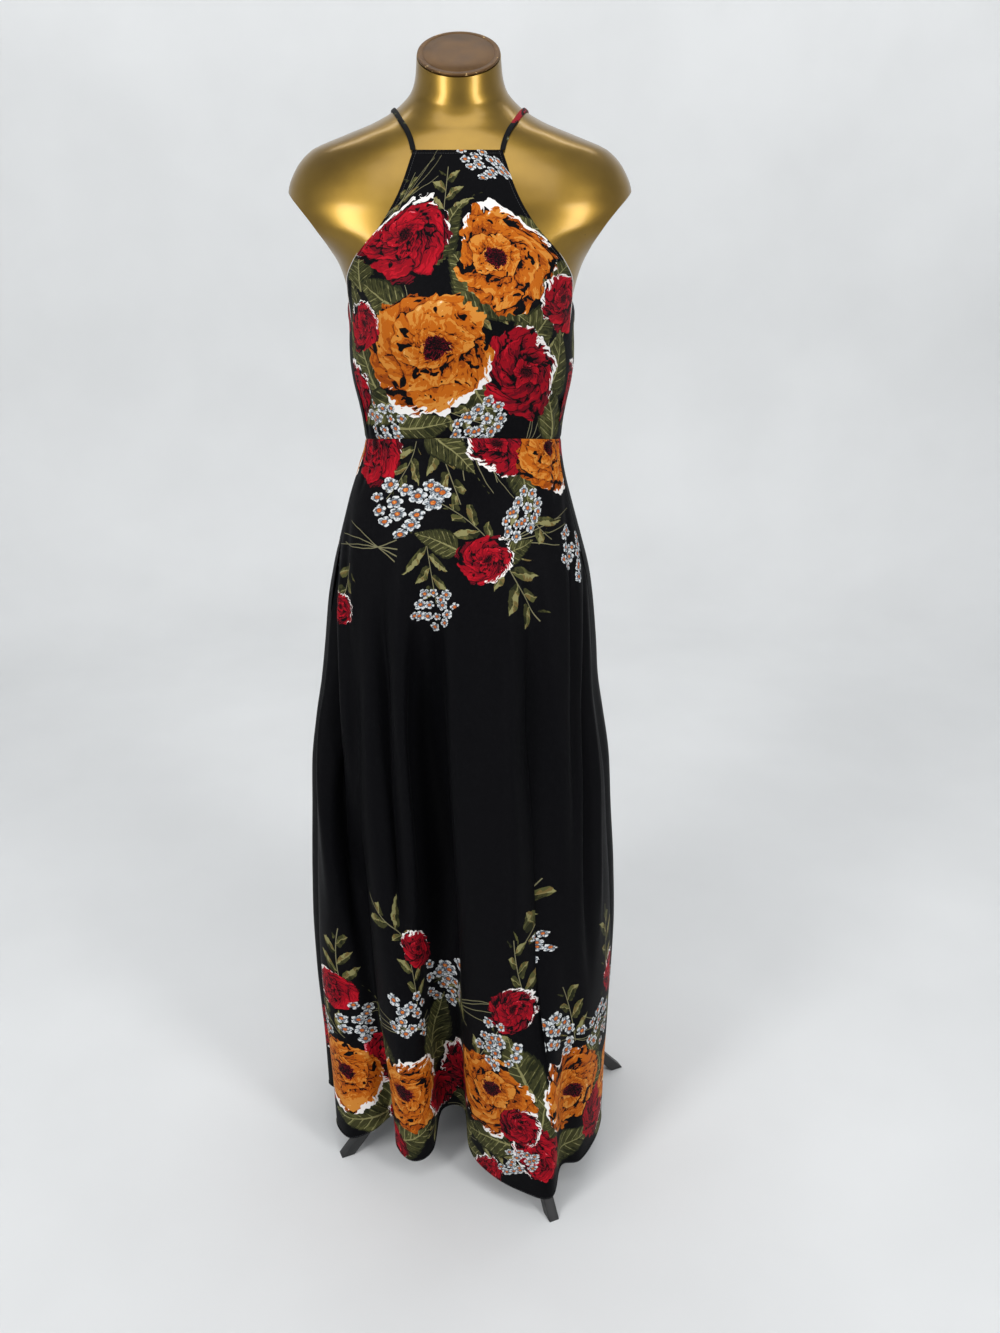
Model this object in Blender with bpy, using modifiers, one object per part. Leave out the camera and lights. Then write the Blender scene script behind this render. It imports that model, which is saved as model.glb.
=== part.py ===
"""A halter-neck maxi dress on a limbless dress form with a four-legged stand.

Metres, +Z up. The front faces -Y, and the stand rests on z = 0.
"""

import math

import bmesh
import bpy
import numpy as np
from mathutils import Vector
from mathutils.bvhtree import BVHTree

OBJECT_NAME = "maxi_dress"

# Heights above the floor
WAIST_Z = 1.114
SIDE_SEAM_TOP_Z = 1.290
NECKLINE_Z = 1.4555
FORM_BOTTOM_Z = 0.790
SHOULDERS_LOW_Z = 1.275
SHOULDERS_HIGH_Z = 1.460

# The cloth and its seams
CLOTH = 0.0012
SEAM_GAP = 0.0003
WAIST_RISE = 0.019
WAIST_RISE_SHARPNESS = 1.2
SIDE_SEAM_DEG = 70.0

# The straps
STRAP_WIDTH = 0.0062
STRAP_THICKNESS = 0.0020
STRAP_CLEARANCE = 0.0010
STRAP_END_LIFT = 0.0020
STRAP_END_STATIONS = 3
STRAP_BACK_DEG = 150.0

# The bust of the form, two soft mounds that the cloth bridges
BUST_Z = 1.280
BUST_HEIGHT = 0.050
BUST_DEG = 27.0
BUST_SPREAD_DEG = 17.0
BUST_OUT = 0.014

# The block that cuts off each arm
ARM_CUTTER_X = 0.30
ARM_CUTTER_DEPTH = 0.30
ARM_CUTTER_ROWS = 17

# The neck cap, an oval plate that tilts to the front, with a ring cut into its top
CAP_HALF_WIDTH = 0.0478
CAP_HALF_DEPTH = 0.0540
CAP_THICKNESS = 0.0035
CAP_ROUNDING = 0.0012
CAP_LOWER_ROUNDING = 0.0006
CAP_RING_INSET = 0.0055
CAP_RING_WIDTH = 0.0016
CAP_RING_DEPTH = 0.0004
CAP_TILT = math.radians(28.0)
NECK_TOP_Z = 1.556

# The stand: a pole, a square hub and four square bars to the floor
STAND_X = 0.026
STAND_Y = -0.007
STAND_TURN_DEG = 24.0
LEG_COUNT = 4
FOOT_RADIUS = 0.241
LEG_RISE = 1.20
LEG_SIDE = 0.016
HUB_HALF = 0.020
HUB_TOP_Z = 0.310
HUB_BOTTOM_Z = 0.255
POLE_RADIUS = 0.0125

# How finely the surfaces are divided
FORM_COLUMNS = 40
FRONT_COLUMNS = 56
BACK_COLUMNS = 48
BODICE_COLUMNS = 24
BODICE_BACK_COLUMNS = 30
POLE_COLUMNS = 20
SEAM_ROWS = 7
YOKE_ROWS = 9
SHOULDER_RINGS = 15
LEAST_RING_GAP = 0.005
STRAP_STATIONS = 26
STRAP_TRIAL_STATIONS = 104
SHARP_EDGE = math.radians(40.0)

# height, half width, depth to the front, depth to the back, roundness, tilt of the section
BODY_SECTIONS = np.array((
    (0.790, 0.130, 0.074, 0.084, 2.3, 0.0),
    (0.797, 0.143, 0.087, 0.098, 2.3, 0.0),
    (0.820, 0.152, 0.096, 0.108, 2.3, 0.0),
    (0.900, 0.162, 0.103, 0.120, 2.3, 0.0),
    (0.960, 0.154, 0.101, 0.114, 2.3, 0.0),
    (1.030, 0.138, 0.094, 0.102, 2.3, 0.0),
    (1.079, 0.1265, 0.088, 0.092, 2.2, 0.0),
    (1.114, 0.1220, 0.087, 0.088, 2.2, 0.0),
    (1.161, 0.1245, 0.092, 0.090, 2.2, 0.0),
    (1.193, 0.1290, 0.100, 0.094, 2.2, 0.0),
    (1.219, 0.1330, 0.109, 0.098, 2.25, 0.0),
    (1.256, 0.1355, 0.118, 0.102, 2.3, 0.0),
    (1.290, 0.1370, 0.119, 0.104, 2.35, 0.0),
    (1.302, 0.1395, 0.118, 0.105, 2.4, 0.0),
    (1.314, 0.1425, 0.116, 0.106, 2.45, 0.0),
    (1.334, 0.1500, 0.113, 0.107, 2.55, 0.0),
    (1.350, 0.1640, 0.111, 0.107, 2.6, 0.0),
    (1.376, 0.1980, 0.105, 0.105, 2.65, 0.0),
    (1.394, 0.2055, 0.100, 0.102, 2.65, 0.0),
    (1.412, 0.2040, 0.093, 0.098, 2.55, 0.0),
    (1.433, 0.1955, 0.084, 0.091, 2.4, 0.0),
    (1.455, 0.1755, 0.073, 0.081, 2.2, 0.0),
    (1.471, 0.1370, 0.065, 0.072, 2.1, 0.0),
    (1.486, 0.0980, 0.058, 0.064, 2.05, 0.04),
    (1.501, 0.0720, 0.0535, 0.058, 2.0, 0.12),
    (1.519, 0.0550, 0.0510, 0.0545, 2.0, 0.27),
    (1.534, 0.0506, 0.0510, 0.0530, 2.0, 0.42),
    (1.556, 0.0485, 0.0484, 0.0484, 2.0, 0.5317),
))

# height, how far from the middle the hollow plate is that closes the arm
ARM_PLATE = np.array((
    (1.290, 0.1480),
    (1.330, 0.1480),
    (1.350, 0.1540),
    (1.370, 0.1655),
    (1.390, 0.1820),
    (1.412, 0.2050),
    (1.450, 0.2400),
))

# height, half width of the front panel at its armhole edge
ARMHOLE_EDGE = np.array((
    (1.290, 0.1300),
    (1.314, 0.1285),
    (1.338, 0.1180),
    (1.357, 0.1050),
    (1.376, 0.0885),
    (1.412, 0.0665),
    (1.4555, 0.0500),
))

# angle from the front in degrees, height of the back panel's top edge
BACK_EDGE = np.array((
    (70.0, 1.290),
    (90.0, 1.262),
    (120.0, 1.228),
    (150.0, 1.217),
    (180.0, 1.214),
))

# height, how far the bodice stands off the form
BODICE_EASE = np.array((
    (1.090, 0.0035),
    (1.114, 0.0035),
    (1.150, 0.0060),
    (1.190, 0.0085),
    (1.230, 0.0055),
    (1.262, 0.0026),
    (1.300, 0.0034),
    (1.335, 0.0042),
    (1.380, 0.0032),
    (1.460, 0.0030),
))

# height, half width, depth to the front, depth to the back, shift to the right
SKIRT_SECTIONS = np.array((
    (0.040, 0.2200, 0.2150, 0.2150, -0.011),
    (0.157, 0.2220, 0.2120, 0.2130, -0.010),
    (0.278, 0.2265, 0.2080, 0.2100, -0.010),
    (0.359, 0.2275, 0.2040, 0.2060, -0.0095),
    (0.460, 0.2240, 0.1980, 0.2000, -0.0095),
    (0.576, 0.2165, 0.1880, 0.1910, -0.010),
    (0.650, 0.2120, 0.1800, 0.1840, -0.010),
    (0.722, 0.2015, 0.1700, 0.1760, -0.010),
    (0.781, 0.1915, 0.1610, 0.1680, -0.009),
    (0.837, 0.1855, 0.1510, 0.1590, -0.007),
    (0.902, 0.1780, 0.1380, 0.1480, -0.006),
    (0.942, 0.1705, 0.1290, 0.1390, -0.005),
    (0.982, 0.1600, 0.1190, 0.1290, -0.005),
    (1.030, 0.1465, 0.1070, 0.1150, -0.005),
    (1.079, 0.1330, 0.0950, 0.1000, -0.003),
    (1.114, 0.1265, 0.0905, 0.0915, 0.0),
    (1.140, 0.1265, 0.0905, 0.0915, 0.0),
))
SKIRT_ROUNDNESS = 2.15

# drop below the waist seam, how much of the hem's folds the skirt has there
FLUTE_GROWTH = np.array((
    (0.000, 0.00),
    (0.100, 0.00),
    (0.180, 0.05),
    (0.300, 0.17),
    (0.500, 0.41),
    (0.700, 0.64),
    (0.900, 0.85),
    (1.064, 1.00),
))

# share of the skirt's length at each row of points
SKIRT_ROWS = (0.0, 0.03, 0.07, 0.12, 0.17, 0.23, 0.30, 0.38, 0.47, 0.57, 0.68, 0.79, 0.90, 1.0)
WAIST_BLEND = 0.08

# part of a fold at the hem, x, distance to the front, height, angle at the waist in degrees
HEM_FOLDS = (
    ("left_side_crest", -0.232, 0.004, 0.052, -88),
    ("left_seam_trough", -0.190, 0.046, 0.058, -77),
    ("left_front_crest", -0.209, 0.086, 0.050, -69),
    ("left_front_crest", -0.186, 0.121, 0.048, -62),
    ("left_front_crest", -0.150, 0.117, 0.058, -56),
    ("left_trough", -0.118, 0.098, 0.070, -48),
    ("second_crest", -0.109, 0.142, 0.050, -40),
    ("second_crest", -0.083, 0.165, 0.045, -31),
    ("second_crest", -0.056, 0.148, 0.050, -23),
    ("centre_trough", -0.044, 0.092, 0.076, -16),
    ("centre_trough", -0.008, 0.088, 0.074, -9),
    ("front_crest", 0.003, 0.150, 0.052, -3),
    ("front_crest", 0.034, 0.190, 0.045, 6),
    ("front_crest", 0.078, 0.219, 0.042, 17),
    ("front_crest", 0.122, 0.232, 0.042, 28),
    ("right_trough", 0.138, 0.184, 0.055, 36),
    ("right_front_crest", 0.168, 0.168, 0.050, 48),
    ("right_front_crest", 0.196, 0.118, 0.050, 58),
    ("right_front_crest", 0.206, 0.066, 0.052, 68),
    ("right_seam_trough", 0.184, 0.034, 0.058, 76),
    ("right_side_crest", 0.212, 0.000, 0.056, 85),
    ("right_side_crest", 0.217, -0.042, 0.070, 95),
    ("right_side_crest", 0.211, -0.086, 0.082, 106),
    ("right_back_trough", 0.160, -0.108, 0.064, 116),
    ("right_back_crest", 0.170, -0.152, 0.052, 125),
    ("right_back_crest", 0.136, -0.186, 0.048, 134),
    ("right_middle_trough", 0.098, -0.130, 0.058, 144),
    ("right_middle_crest", 0.078, -0.205, 0.048, 154),
    ("right_middle_crest", 0.040, -0.214, 0.048, 162),
    ("back_trough", 0.012, -0.140, 0.062, 172),
    ("back_crest", -0.030, -0.214, 0.050, 183),
    ("back_crest", -0.078, -0.226, 0.050, 193),
    ("left_middle_trough", -0.100, -0.140, 0.060, 204),
    ("left_middle_crest", -0.140, -0.176, 0.048, 214),
    ("left_middle_crest", -0.168, -0.142, 0.050, 223),
    ("left_back_trough", -0.146, -0.088, 0.060, 233),
    ("left_back_crest", -0.205, -0.092, 0.050, 244),
    ("left_back_crest", -0.222, -0.054, 0.050, 254),
    ("left_rear_trough", -0.192, -0.030, 0.058, 263),
)
LEFT_SEAM_FOLD = 1
RIGHT_SEAM_FOLD = 19
SPLINE_STEPS = 24

# angle over the shoulder in degrees (0 is straight up), distance from the middle
STRAP_ROUTE = np.array((
    (-60.0, 0.0475),
    (-45.0, 0.0530),
    (-20.0, 0.0690),
    (0.0, 0.0765),
    (25.0, 0.0790),
    (60.0, 0.0770),
    (100.0, 0.0700),
    (150.0, 0.0600),
))
STRAP_CENTRE_Z = 1.400
STRAP_RAY_START = 0.5


def eased(table, at, column=1):
    """A table's column at some places, along a smooth curve that never overshoots its rows."""
    x = table[:, 0]
    y = table[:, column]
    step = np.diff(x)
    slope = np.diff(y) / step
    rate = np.zeros(len(x))
    same_way = slope[:-1] * slope[1:] > 0
    ahead = 2 * step[1:] + step[:-1]
    behind = step[1:] + 2 * step[:-1]
    safe = np.where(same_way, slope[:-1] * slope[1:], 1.0)
    inner = (ahead + behind) * safe / (ahead * slope[1:] + behind * slope[:-1] + (~same_way))
    rate[1:-1] = np.where(same_way, inner, 0.0)
    rate[0] = slope[0]
    rate[-1] = slope[-1]
    at = np.clip(at, x[0], x[-1])
    i = np.clip(np.searchsorted(x, at) - 1, 0, len(step) - 1)
    t = (at - x[i]) / step[i]
    rise = y[i] + t * step[i] * rate[i]
    cubic = 3 * (y[i + 1] - y[i]) - step[i] * (2 * rate[i] + rate[i + 1])
    last = 2 * (y[i] - y[i + 1]) + step[i] * (rate[i] + rate[i + 1])
    return rise + t**2 * cubic + t**3 * last


def smooth_step(low, high, value):
    t = np.clip((value - low) / (high - low), 0.0, 1.0)
    return t * t * (3 - 2 * t)


def oval(angle, half_width, front, back, roundness):
    """Points of a rounded oval, with 0 at the front, and the outward direction at each."""
    side = np.sin(angle)
    ahead = np.cos(angle)
    depth = np.where(ahead >= 0, front, back)
    x = half_width * np.sign(side) * np.abs(side) ** (2 / roundness)
    y = -depth * np.sign(ahead) * np.abs(ahead) ** (2 / roundness)
    out_x = np.sign(x) * np.abs(x / half_width) ** (roundness - 1) / half_width
    out_y = np.sign(y) * np.abs(y / depth) ** (roundness - 1) / depth
    length = np.hypot(out_x, out_y)
    return x, y, out_x / length, out_y / length


def bust_share(angle, z, bridged):
    """How far the bust stands out here, from 0 to 1. Cloth bridges the middle."""
    off = np.degrees(np.abs((angle + math.pi) % (2 * math.pi) - math.pi)) - BUST_DEG
    if bridged:
        off = np.maximum(off, 0.0)
    return np.exp(-((off / BUST_SPREAD_DEG) ** 2)) * np.exp(-(((z - BUST_Z) / BUST_HEIGHT) ** 2))


def around_body(angle, z, out, bridged=False):
    """Points round the body at a height, moved out by a distance."""
    half_width, front, back, roundness, tilt = (eased(BODY_SECTIONS, z, c) for c in range(1, 6))
    x, y, out_x, out_y = oval(angle, half_width, front, back, roundness)
    out = out + BUST_OUT * bust_share(angle, z, bridged)
    x = x + out * out_x
    y = y + out * out_y
    return np.stack(np.broadcast_arrays(x, y, z + tilt * y), axis=-1)


def waist_z(angle):
    """The waist seam's height, which rises a little at the front."""
    return WAIST_Z + WAIST_RISE * np.maximum(np.cos(angle), 0.0) ** WAIST_RISE_SHARPNESS


def material(name, colour, roughness, metallic=0.0):
    made = bpy.data.materials.new(name)
    made.use_nodes = True
    shader = made.node_tree.nodes["Principled BSDF"]
    shader.inputs["Base Color"].default_value = (*colour, 1.0)
    shader.inputs["Roughness"].default_value = roughness
    shader.inputs["Metallic"].default_value = metallic
    made.diffuse_color = (*colour, 1.0)
    return made


def add_object(name, mesh, parts, root, look, smooth=True):
    mesh.materials.append(look)
    if smooth:
        mesh.shade_smooth()
        mesh.set_sharp_from_angle(angle=SHARP_EDGE)
    obj = bpy.data.objects.new(name, mesh)
    parts.objects.link(obj)
    obj.parent = root
    return obj


def grid_faces(rows, columns, first, flip, closed=False):
    """Quads over a grid of points that starts at index first."""
    faces = []
    for r in range(rows - 1):
        for c in range(columns if closed else columns - 1):
            near = first + r * columns + c
            side = first + r * columns + (c + 1) % columns
            quad = (near, side, side + columns, near + columns)
            faces.append(quad[::-1] if flip else quad)
    return faces


def wall_mesh(name, inner, outer):
    """A closed wall between two grids of points whose rows go up and columns go round."""
    rows, columns = inner.shape[:2]
    count = rows * columns
    points = np.concatenate([inner.reshape(-1, 3), outer.reshape(-1, 3)])
    faces = grid_faces(rows, columns, 0, flip=True)
    faces += grid_faces(rows, columns, count, flip=False)
    rim = [c for c in range(columns)]
    rim += [r * columns + columns - 1 for r in range(1, rows)]
    rim += [(rows - 1) * columns + c for c in range(columns - 2, -1, -1)]
    rim += [r * columns for r in range(rows - 2, 0, -1)]
    for here, there in zip(rim, rim[1:] + rim[:1]):
        faces.append((here, there, there + count, here + count))
    mesh = bpy.data.meshes.new(name)
    mesh.from_pydata(points.tolist(), [], faces)
    mesh.validate()
    return mesh


def rings_mesh(name, rings):
    """A closed body through rings of points, with flat ends."""
    count, columns = rings.shape[:2]
    faces = grid_faces(count, columns, 0, flip=False, closed=True)
    faces.append(tuple(range(columns))[::-1])
    faces.append(tuple((count - 1) * columns + c for c in range(columns)))
    mesh = bpy.data.meshes.new(name)
    mesh.from_pydata(rings.reshape(-1, 3).tolist(), [], faces)
    mesh.validate()
    return mesh


def body_rings():
    """Rings at the listed heights, and evenly spaced ones where the shoulders curve most."""
    angle = np.linspace(0, 2 * math.pi, FORM_COLUMNS, endpoint=False)
    listed = BODY_SECTIONS[:, 0]
    shoulders = np.linspace(SHOULDERS_LOW_Z, SHOULDERS_HIGH_Z, SHOULDER_RINGS)
    below = listed < SHOULDERS_LOW_Z - LEAST_RING_GAP
    above = listed > SHOULDERS_HIGH_Z + LEAST_RING_GAP
    heights = np.concatenate([listed[below], shoulders, listed[above]])
    return np.stack([around_body(angle, z, 0.0) for z in heights])


def arm_cutter(side, cutters):
    """A block whose inner face is the hollow plate that closes one arm."""
    height = np.linspace(ARM_PLATE[0, 0], ARM_PLATE[-1, 0], ARM_CUTTER_ROWS)
    outline = [(x, 0.0, z) for x, z in zip(side * eased(ARM_PLATE, height), height)]
    outline += [(side * ARM_CUTTER_X, 0.0, height[i]) for i in (-1, 0)]
    name = f"arm_cutter_{side}"
    mesh = bpy.data.meshes.new(name)
    mesh.from_pydata(outline, [], [tuple(range(len(outline)))])
    obj = bpy.data.objects.new(name, mesh)
    cutters.objects.link(obj)
    depth = obj.modifiers.new("depth", "SOLIDIFY")
    depth.thickness = ARM_CUTTER_DEPTH
    depth.offset = 0.0
    obj.hide_render = True
    obj.display_type = "WIRE"
    return obj


def make_torso(parts, cutters, root, look):
    obj = add_object("form_torso", rings_mesh("form_torso", body_rings()), parts, root, look)
    for side in (-1, 1):
        cutter = arm_cutter(side, cutters)
        cutter.parent = root
        cut = obj.modifiers.new(cutter.name, "BOOLEAN")
        cut.operation = "DIFFERENCE"
        cut.object = cutter
    return obj


def make_neck_cap(parts, root, look):
    """The oval plate, with rounded rims, a small gap above the neck."""
    # height in the plate, how far the rim is drawn in there
    profile = (
        (SEAM_GAP, CAP_LOWER_ROUNDING),
        (SEAM_GAP + CAP_LOWER_ROUNDING, 0.0),
        (CAP_THICKNESS - CAP_ROUNDING * 3 / 4, 0.0),
        (CAP_THICKNESS - CAP_ROUNDING / 4, CAP_ROUNDING / 4),
        (CAP_THICKNESS, CAP_ROUNDING),
        (CAP_THICKNESS, CAP_RING_INSET),
        (CAP_THICKNESS - CAP_RING_DEPTH, CAP_RING_INSET + CAP_RING_WIDTH / 2),
        (CAP_THICKNESS, CAP_RING_INSET + CAP_RING_WIDTH),
    )
    angle = np.linspace(0, 2 * math.pi, FORM_COLUMNS, endpoint=False)
    rings = []
    for height, drawn_in in profile:
        x, y, _, _ = oval(
            angle, CAP_HALF_WIDTH - drawn_in, CAP_HALF_DEPTH - drawn_in,
            CAP_HALF_DEPTH - drawn_in, 2.0,
        )
        rings.append(np.stack([x, y, np.full_like(x, height)], axis=-1))
    mesh = rings_mesh("neck_cap", np.stack(rings))
    obj = add_object("neck_cap", mesh, parts, root, look)
    obj.location = (0.0, 0.0, NECK_TOP_Z)
    obj.rotation_euler = (CAP_TILT, 0.0, 0.0)
    return obj


def armhole_angle(z):
    """The angle of the front panel's edge: the side seam, and above it the armhole."""
    half_width = eased(BODY_SECTIONS, z, 1)
    roundness = eased(BODY_SECTIONS, z, 4)
    above = np.arcsin(np.clip(eased(ARMHOLE_EDGE, z) / half_width, 0, 1) ** (roundness / 2))
    return np.where(z <= SIDE_SEAM_TOP_Z, math.radians(SIDE_SEAM_DEG), above)


def seam_trim(z):
    """The angle that half a seam gap takes up at this height."""
    return SEAM_GAP / 2 / eased(BODY_SECTIONS, z, 1)


def bodice_wall(name, angle, z, parts, root, look):
    ease = eased(BODICE_EASE, z)
    inner = around_body(angle, z, ease, bridged=True)
    outer = around_body(angle, z, ease + CLOTH, bridged=True)
    return add_object(name, wall_mesh(name, inner, outer), parts, root, look)


def make_bodice_front(parts, root, look):
    """Rows as high as the back panel's along the side seams, and more rows above them."""
    below = np.linspace(WAIST_Z, SIDE_SEAM_TOP_Z, SEAM_ROWS)
    above = np.linspace(SIDE_SEAM_TOP_Z, NECKLINE_Z, YOKE_ROWS)[1:]
    level = np.concatenate([below, above])[:, None]
    across = np.linspace(-1.0, 1.0, BODICE_COLUMNS)[None, :]
    edge = armhole_angle(level)
    angle = across * (edge - seam_trim(level))
    low = waist_z(angle) + SEAM_GAP / 2
    up = (level - WAIST_Z) / (SIDE_SEAM_TOP_Z - WAIST_Z)
    z = np.where(up < 1.0, low + up * (SIDE_SEAM_TOP_Z - low), level)
    return bodice_wall("bodice_front", angle, z, parts, root, look)


def make_bodice_back(parts, root, look):
    up = np.linspace(0.0, 1.0, SEAM_ROWS)[:, None]
    seam = math.radians(SIDE_SEAM_DEG) + seam_trim(WAIST_Z)
    angle = np.linspace(seam, 2 * math.pi - seam, BODICE_BACK_COLUMNS)[None, :]
    from_front = np.degrees(np.minimum(angle, 2 * math.pi - angle))
    low = waist_z(angle) + SEAM_GAP / 2
    z = low + up * (eased(BACK_EDGE, from_front) - low)
    return bodice_wall("bodice_back", angle, z, parts, root, look)


def hem_curve():
    """The hem as a closed smooth curve: its knots and, between them, x, front, height, angle."""
    knots = np.array([row[1:] for row in HEM_FOLDS], dtype=float)
    around = np.array((0.0, 0.0, 0.0, 360.0))
    padded = np.concatenate([knots[-1:] - around, knots, knots[:2] + around])
    t = np.linspace(0.0, 1.0, SPLINE_STEPS, endpoint=False)[:, None]
    spans = []
    for before, here, there, after in zip(padded, padded[1:], padded[2:], padded[3:]):
        bend = 2 * before - 5 * here + 4 * there - after
        last = 3 * here - before - 3 * there + after
        spans.append(0.5 * (2 * here + (there - before) * t + bend * t**2 + last * t**3))
    return np.concatenate(spans)


def hem_columns(first_fold, last_fold, count):
    """Evenly spaced columns along the hem, from one seam's fold to the other's."""
    curve = hem_curve()
    if last_fold < first_fold:
        curve = np.concatenate([curve, curve + np.array((0.0, 0.0, 0.0, 360.0))])
        last_fold += len(HEM_FOLDS)
    curve = curve[first_fold * SPLINE_STEPS: last_fold * SPLINE_STEPS + 1]
    steps = np.hypot(*np.diff(curve[:, :2], axis=0).T)
    along = np.concatenate([[0.0], np.cumsum(steps)])
    places = np.linspace(SEAM_GAP / 2, along[-1] - SEAM_GAP / 2, count)
    return [np.interp(places, along, curve[:, c]) for c in range(4)]


def skirt_oval(angle, z):
    half_width, front, back, shift = (eased(SKIRT_SECTIONS, z, c) for c in range(1, 5))
    x, y, _, _ = oval(angle, half_width, front, back, SKIRT_ROUNDNESS)
    return x + shift, y


def skirt_points(first_fold, last_fold, count):
    """The inner points of a skirt panel, rows from the hem up."""
    hem_x, hem_front, hem_z, hem_angle = hem_columns(first_fold, last_fold, count)
    angle = np.radians(hem_angle)
    top_z = waist_z(angle) - SEAM_GAP / 2
    top = around_body(angle, top_z, eased(BODICE_EASE, top_z), bridged=True)
    top_x, top_y = skirt_oval(angle, top_z)
    low_x, low_y = skirt_oval(angle, hem_z)
    rows = []
    for share in reversed(SKIRT_ROWS):
        z = top_z + share * (hem_z - top_z)
        drop = (top_z - z) / (top_z - hem_z) * FLUTE_GROWTH[-1, 0]
        flute = eased(FLUTE_GROWTH, drop)
        near_waist = 1 - smooth_step(0.0, WAIST_BLEND, drop)
        x, y = skirt_oval(angle, z)
        x = x + flute * (hem_x - low_x) + near_waist * (top[:, 0] - top_x)
        y = y + flute * (-hem_front - low_y) + near_waist * (top[:, 1] - top_y)
        rows.append(np.stack([x, y, z], axis=-1))
    return np.stack(rows)


def moved_out(points, before, after, distance):
    """Points moved sideways away from the axis, square to their own row."""
    row = np.concatenate([before, points, after], axis=1)
    along = row[:, 2:, :2] - row[:, :-2, :2]
    along /= np.linalg.norm(along, axis=-1, keepdims=True)
    moved = points.copy()
    moved[..., 0] += distance * along[..., 1]
    moved[..., 1] -= distance * along[..., 0]
    return moved


def make_skirt(parts, root, look):
    """Both panels. Their walls share one direction at each side seam, so the seams stay open."""
    front = skirt_points(LEFT_SEAM_FOLD, RIGHT_SEAM_FOLD, FRONT_COLUMNS)
    back = skirt_points(RIGHT_SEAM_FOLD, LEFT_SEAM_FOLD, BACK_COLUMNS)
    panels = (("skirt_front", front, back), ("skirt_back", back, front))
    for name, panel, other in panels:
        outer = moved_out(panel, other[:, -2:-1], other[:, 1:2], CLOTH)
        add_object(name, wall_mesh(name, panel, outer), parts, root, look)


def body_surface():
    """The body's side surface, on which the straps lie."""
    rings = body_rings()
    faces = grid_faces(*rings.shape[:2], 0, flip=False, closed=True)
    return BVHTree.FromPolygons(rings.reshape(-1, 3).tolist(), faces)


def strap_stations(side, surface):
    """Places and outward directions along one strap, read off the body's surface."""
    stations = []
    for degrees in np.linspace(STRAP_ROUTE[0, 0], STRAP_ROUTE[-1, 0], STRAP_TRIAL_STATIONS):
        turn = math.radians(degrees)
        out = Vector((0.0, math.sin(turn), math.cos(turn)))
        centre = Vector((side * float(eased(STRAP_ROUTE, degrees)), 0.0, STRAP_CENTRE_Z))
        place, normal, _, _ = surface.ray_cast(centre + out * STRAP_RAY_START, -out)
        stations.append((place, normal))
    return stations


def cut_level(stations, z):
    """The stations above a height, with the first one exactly at it."""
    first = next(i for i, (place, _) in enumerate(stations) if place.z > z)
    below, normal = stations[first - 1]
    above = stations[first][0]
    end = below.lerp(above, (z - below.z) / (above.z - below.z))
    level = Vector((normal.x, normal.y, 0.0)).normalized()
    return [(end, level)] + stations[first:]


def make_strap(name, side, surface, parts, root, look):
    """A flat strap just off the body, its level ends a seam's gap above the bodice's edges."""
    stations = cut_level(strap_stations(side, surface), NECKLINE_Z + SEAM_GAP)
    back_end = float(eased(BACK_EDGE, STRAP_BACK_DEG)) + SEAM_GAP
    stations = cut_level(stations[::-1], back_end)[::-1]
    chosen = np.linspace(0, len(stations) - 1, STRAP_STATIONS).round().astype(int)
    kept = [stations[i] for i in chosen]
    rings = []
    for i, (place, normal) in enumerate(kept):
        ahead = kept[min(i + 1, len(kept) - 1)][0] - kept[max(i - 1, 0)][0]
        across = ahead.cross(normal).normalized() * (STRAP_WIDTH / 2)
        near_end = min(i, len(kept) - 1 - i) / STRAP_END_STATIONS
        lift = STRAP_CLEARANCE + STRAP_END_LIFT * max(0.0, 1.0 - near_end)
        low = place + normal * lift
        high = place + normal * (lift + STRAP_THICKNESS)
        ring = [low - across, high - across, high + across, low + across]
        if i in (0, len(kept) - 1):
            for corner in ring:
                corner.z = place.z
        rings.append(ring)
    mesh = rings_mesh(name, np.array(rings))
    fix_normals(mesh)
    return add_object(name, mesh, parts, root, look)


def fix_normals(mesh):
    bm = bmesh.new()
    bm.from_mesh(mesh)
    bmesh.ops.recalc_face_normals(bm, faces=bm.faces)
    bm.to_mesh(mesh)
    bm.free()


def primitive_mesh(name, make):
    mesh = bpy.data.meshes.new(name)
    bm = bmesh.new()
    make(bm)
    bm.to_mesh(mesh)
    bm.free()
    return mesh


def make_pole(parts, root, look):
    low = HUB_TOP_Z + SEAM_GAP
    high = FORM_BOTTOM_Z - SEAM_GAP

    def turned(bm):
        bmesh.ops.create_cone(
            bm, cap_ends=True, segments=POLE_COLUMNS, radius1=POLE_RADIUS,
            radius2=POLE_RADIUS, depth=high - low,
        )

    obj = add_object("stand_pole", primitive_mesh("stand_pole", turned), parts, root, look)
    obj.location = (STAND_X, STAND_Y, (low + high) / 2)
    return obj


def make_hub(parts, root, look):
    def block(bm):
        bmesh.ops.create_cube(bm, size=1.0)
        height = HUB_TOP_Z - HUB_BOTTOM_Z
        bmesh.ops.scale(bm, vec=(2 * HUB_HALF, 2 * HUB_HALF, height), verts=bm.verts)

    obj = add_object("stand_hub", primitive_mesh("stand_hub", block), parts, root, look, False)
    obj.location = (STAND_X, STAND_Y, (HUB_TOP_Z + HUB_BOTTOM_Z) / 2)
    obj.rotation_euler = (0.0, 0.0, math.radians(STAND_TURN_DEG))
    return obj


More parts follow.
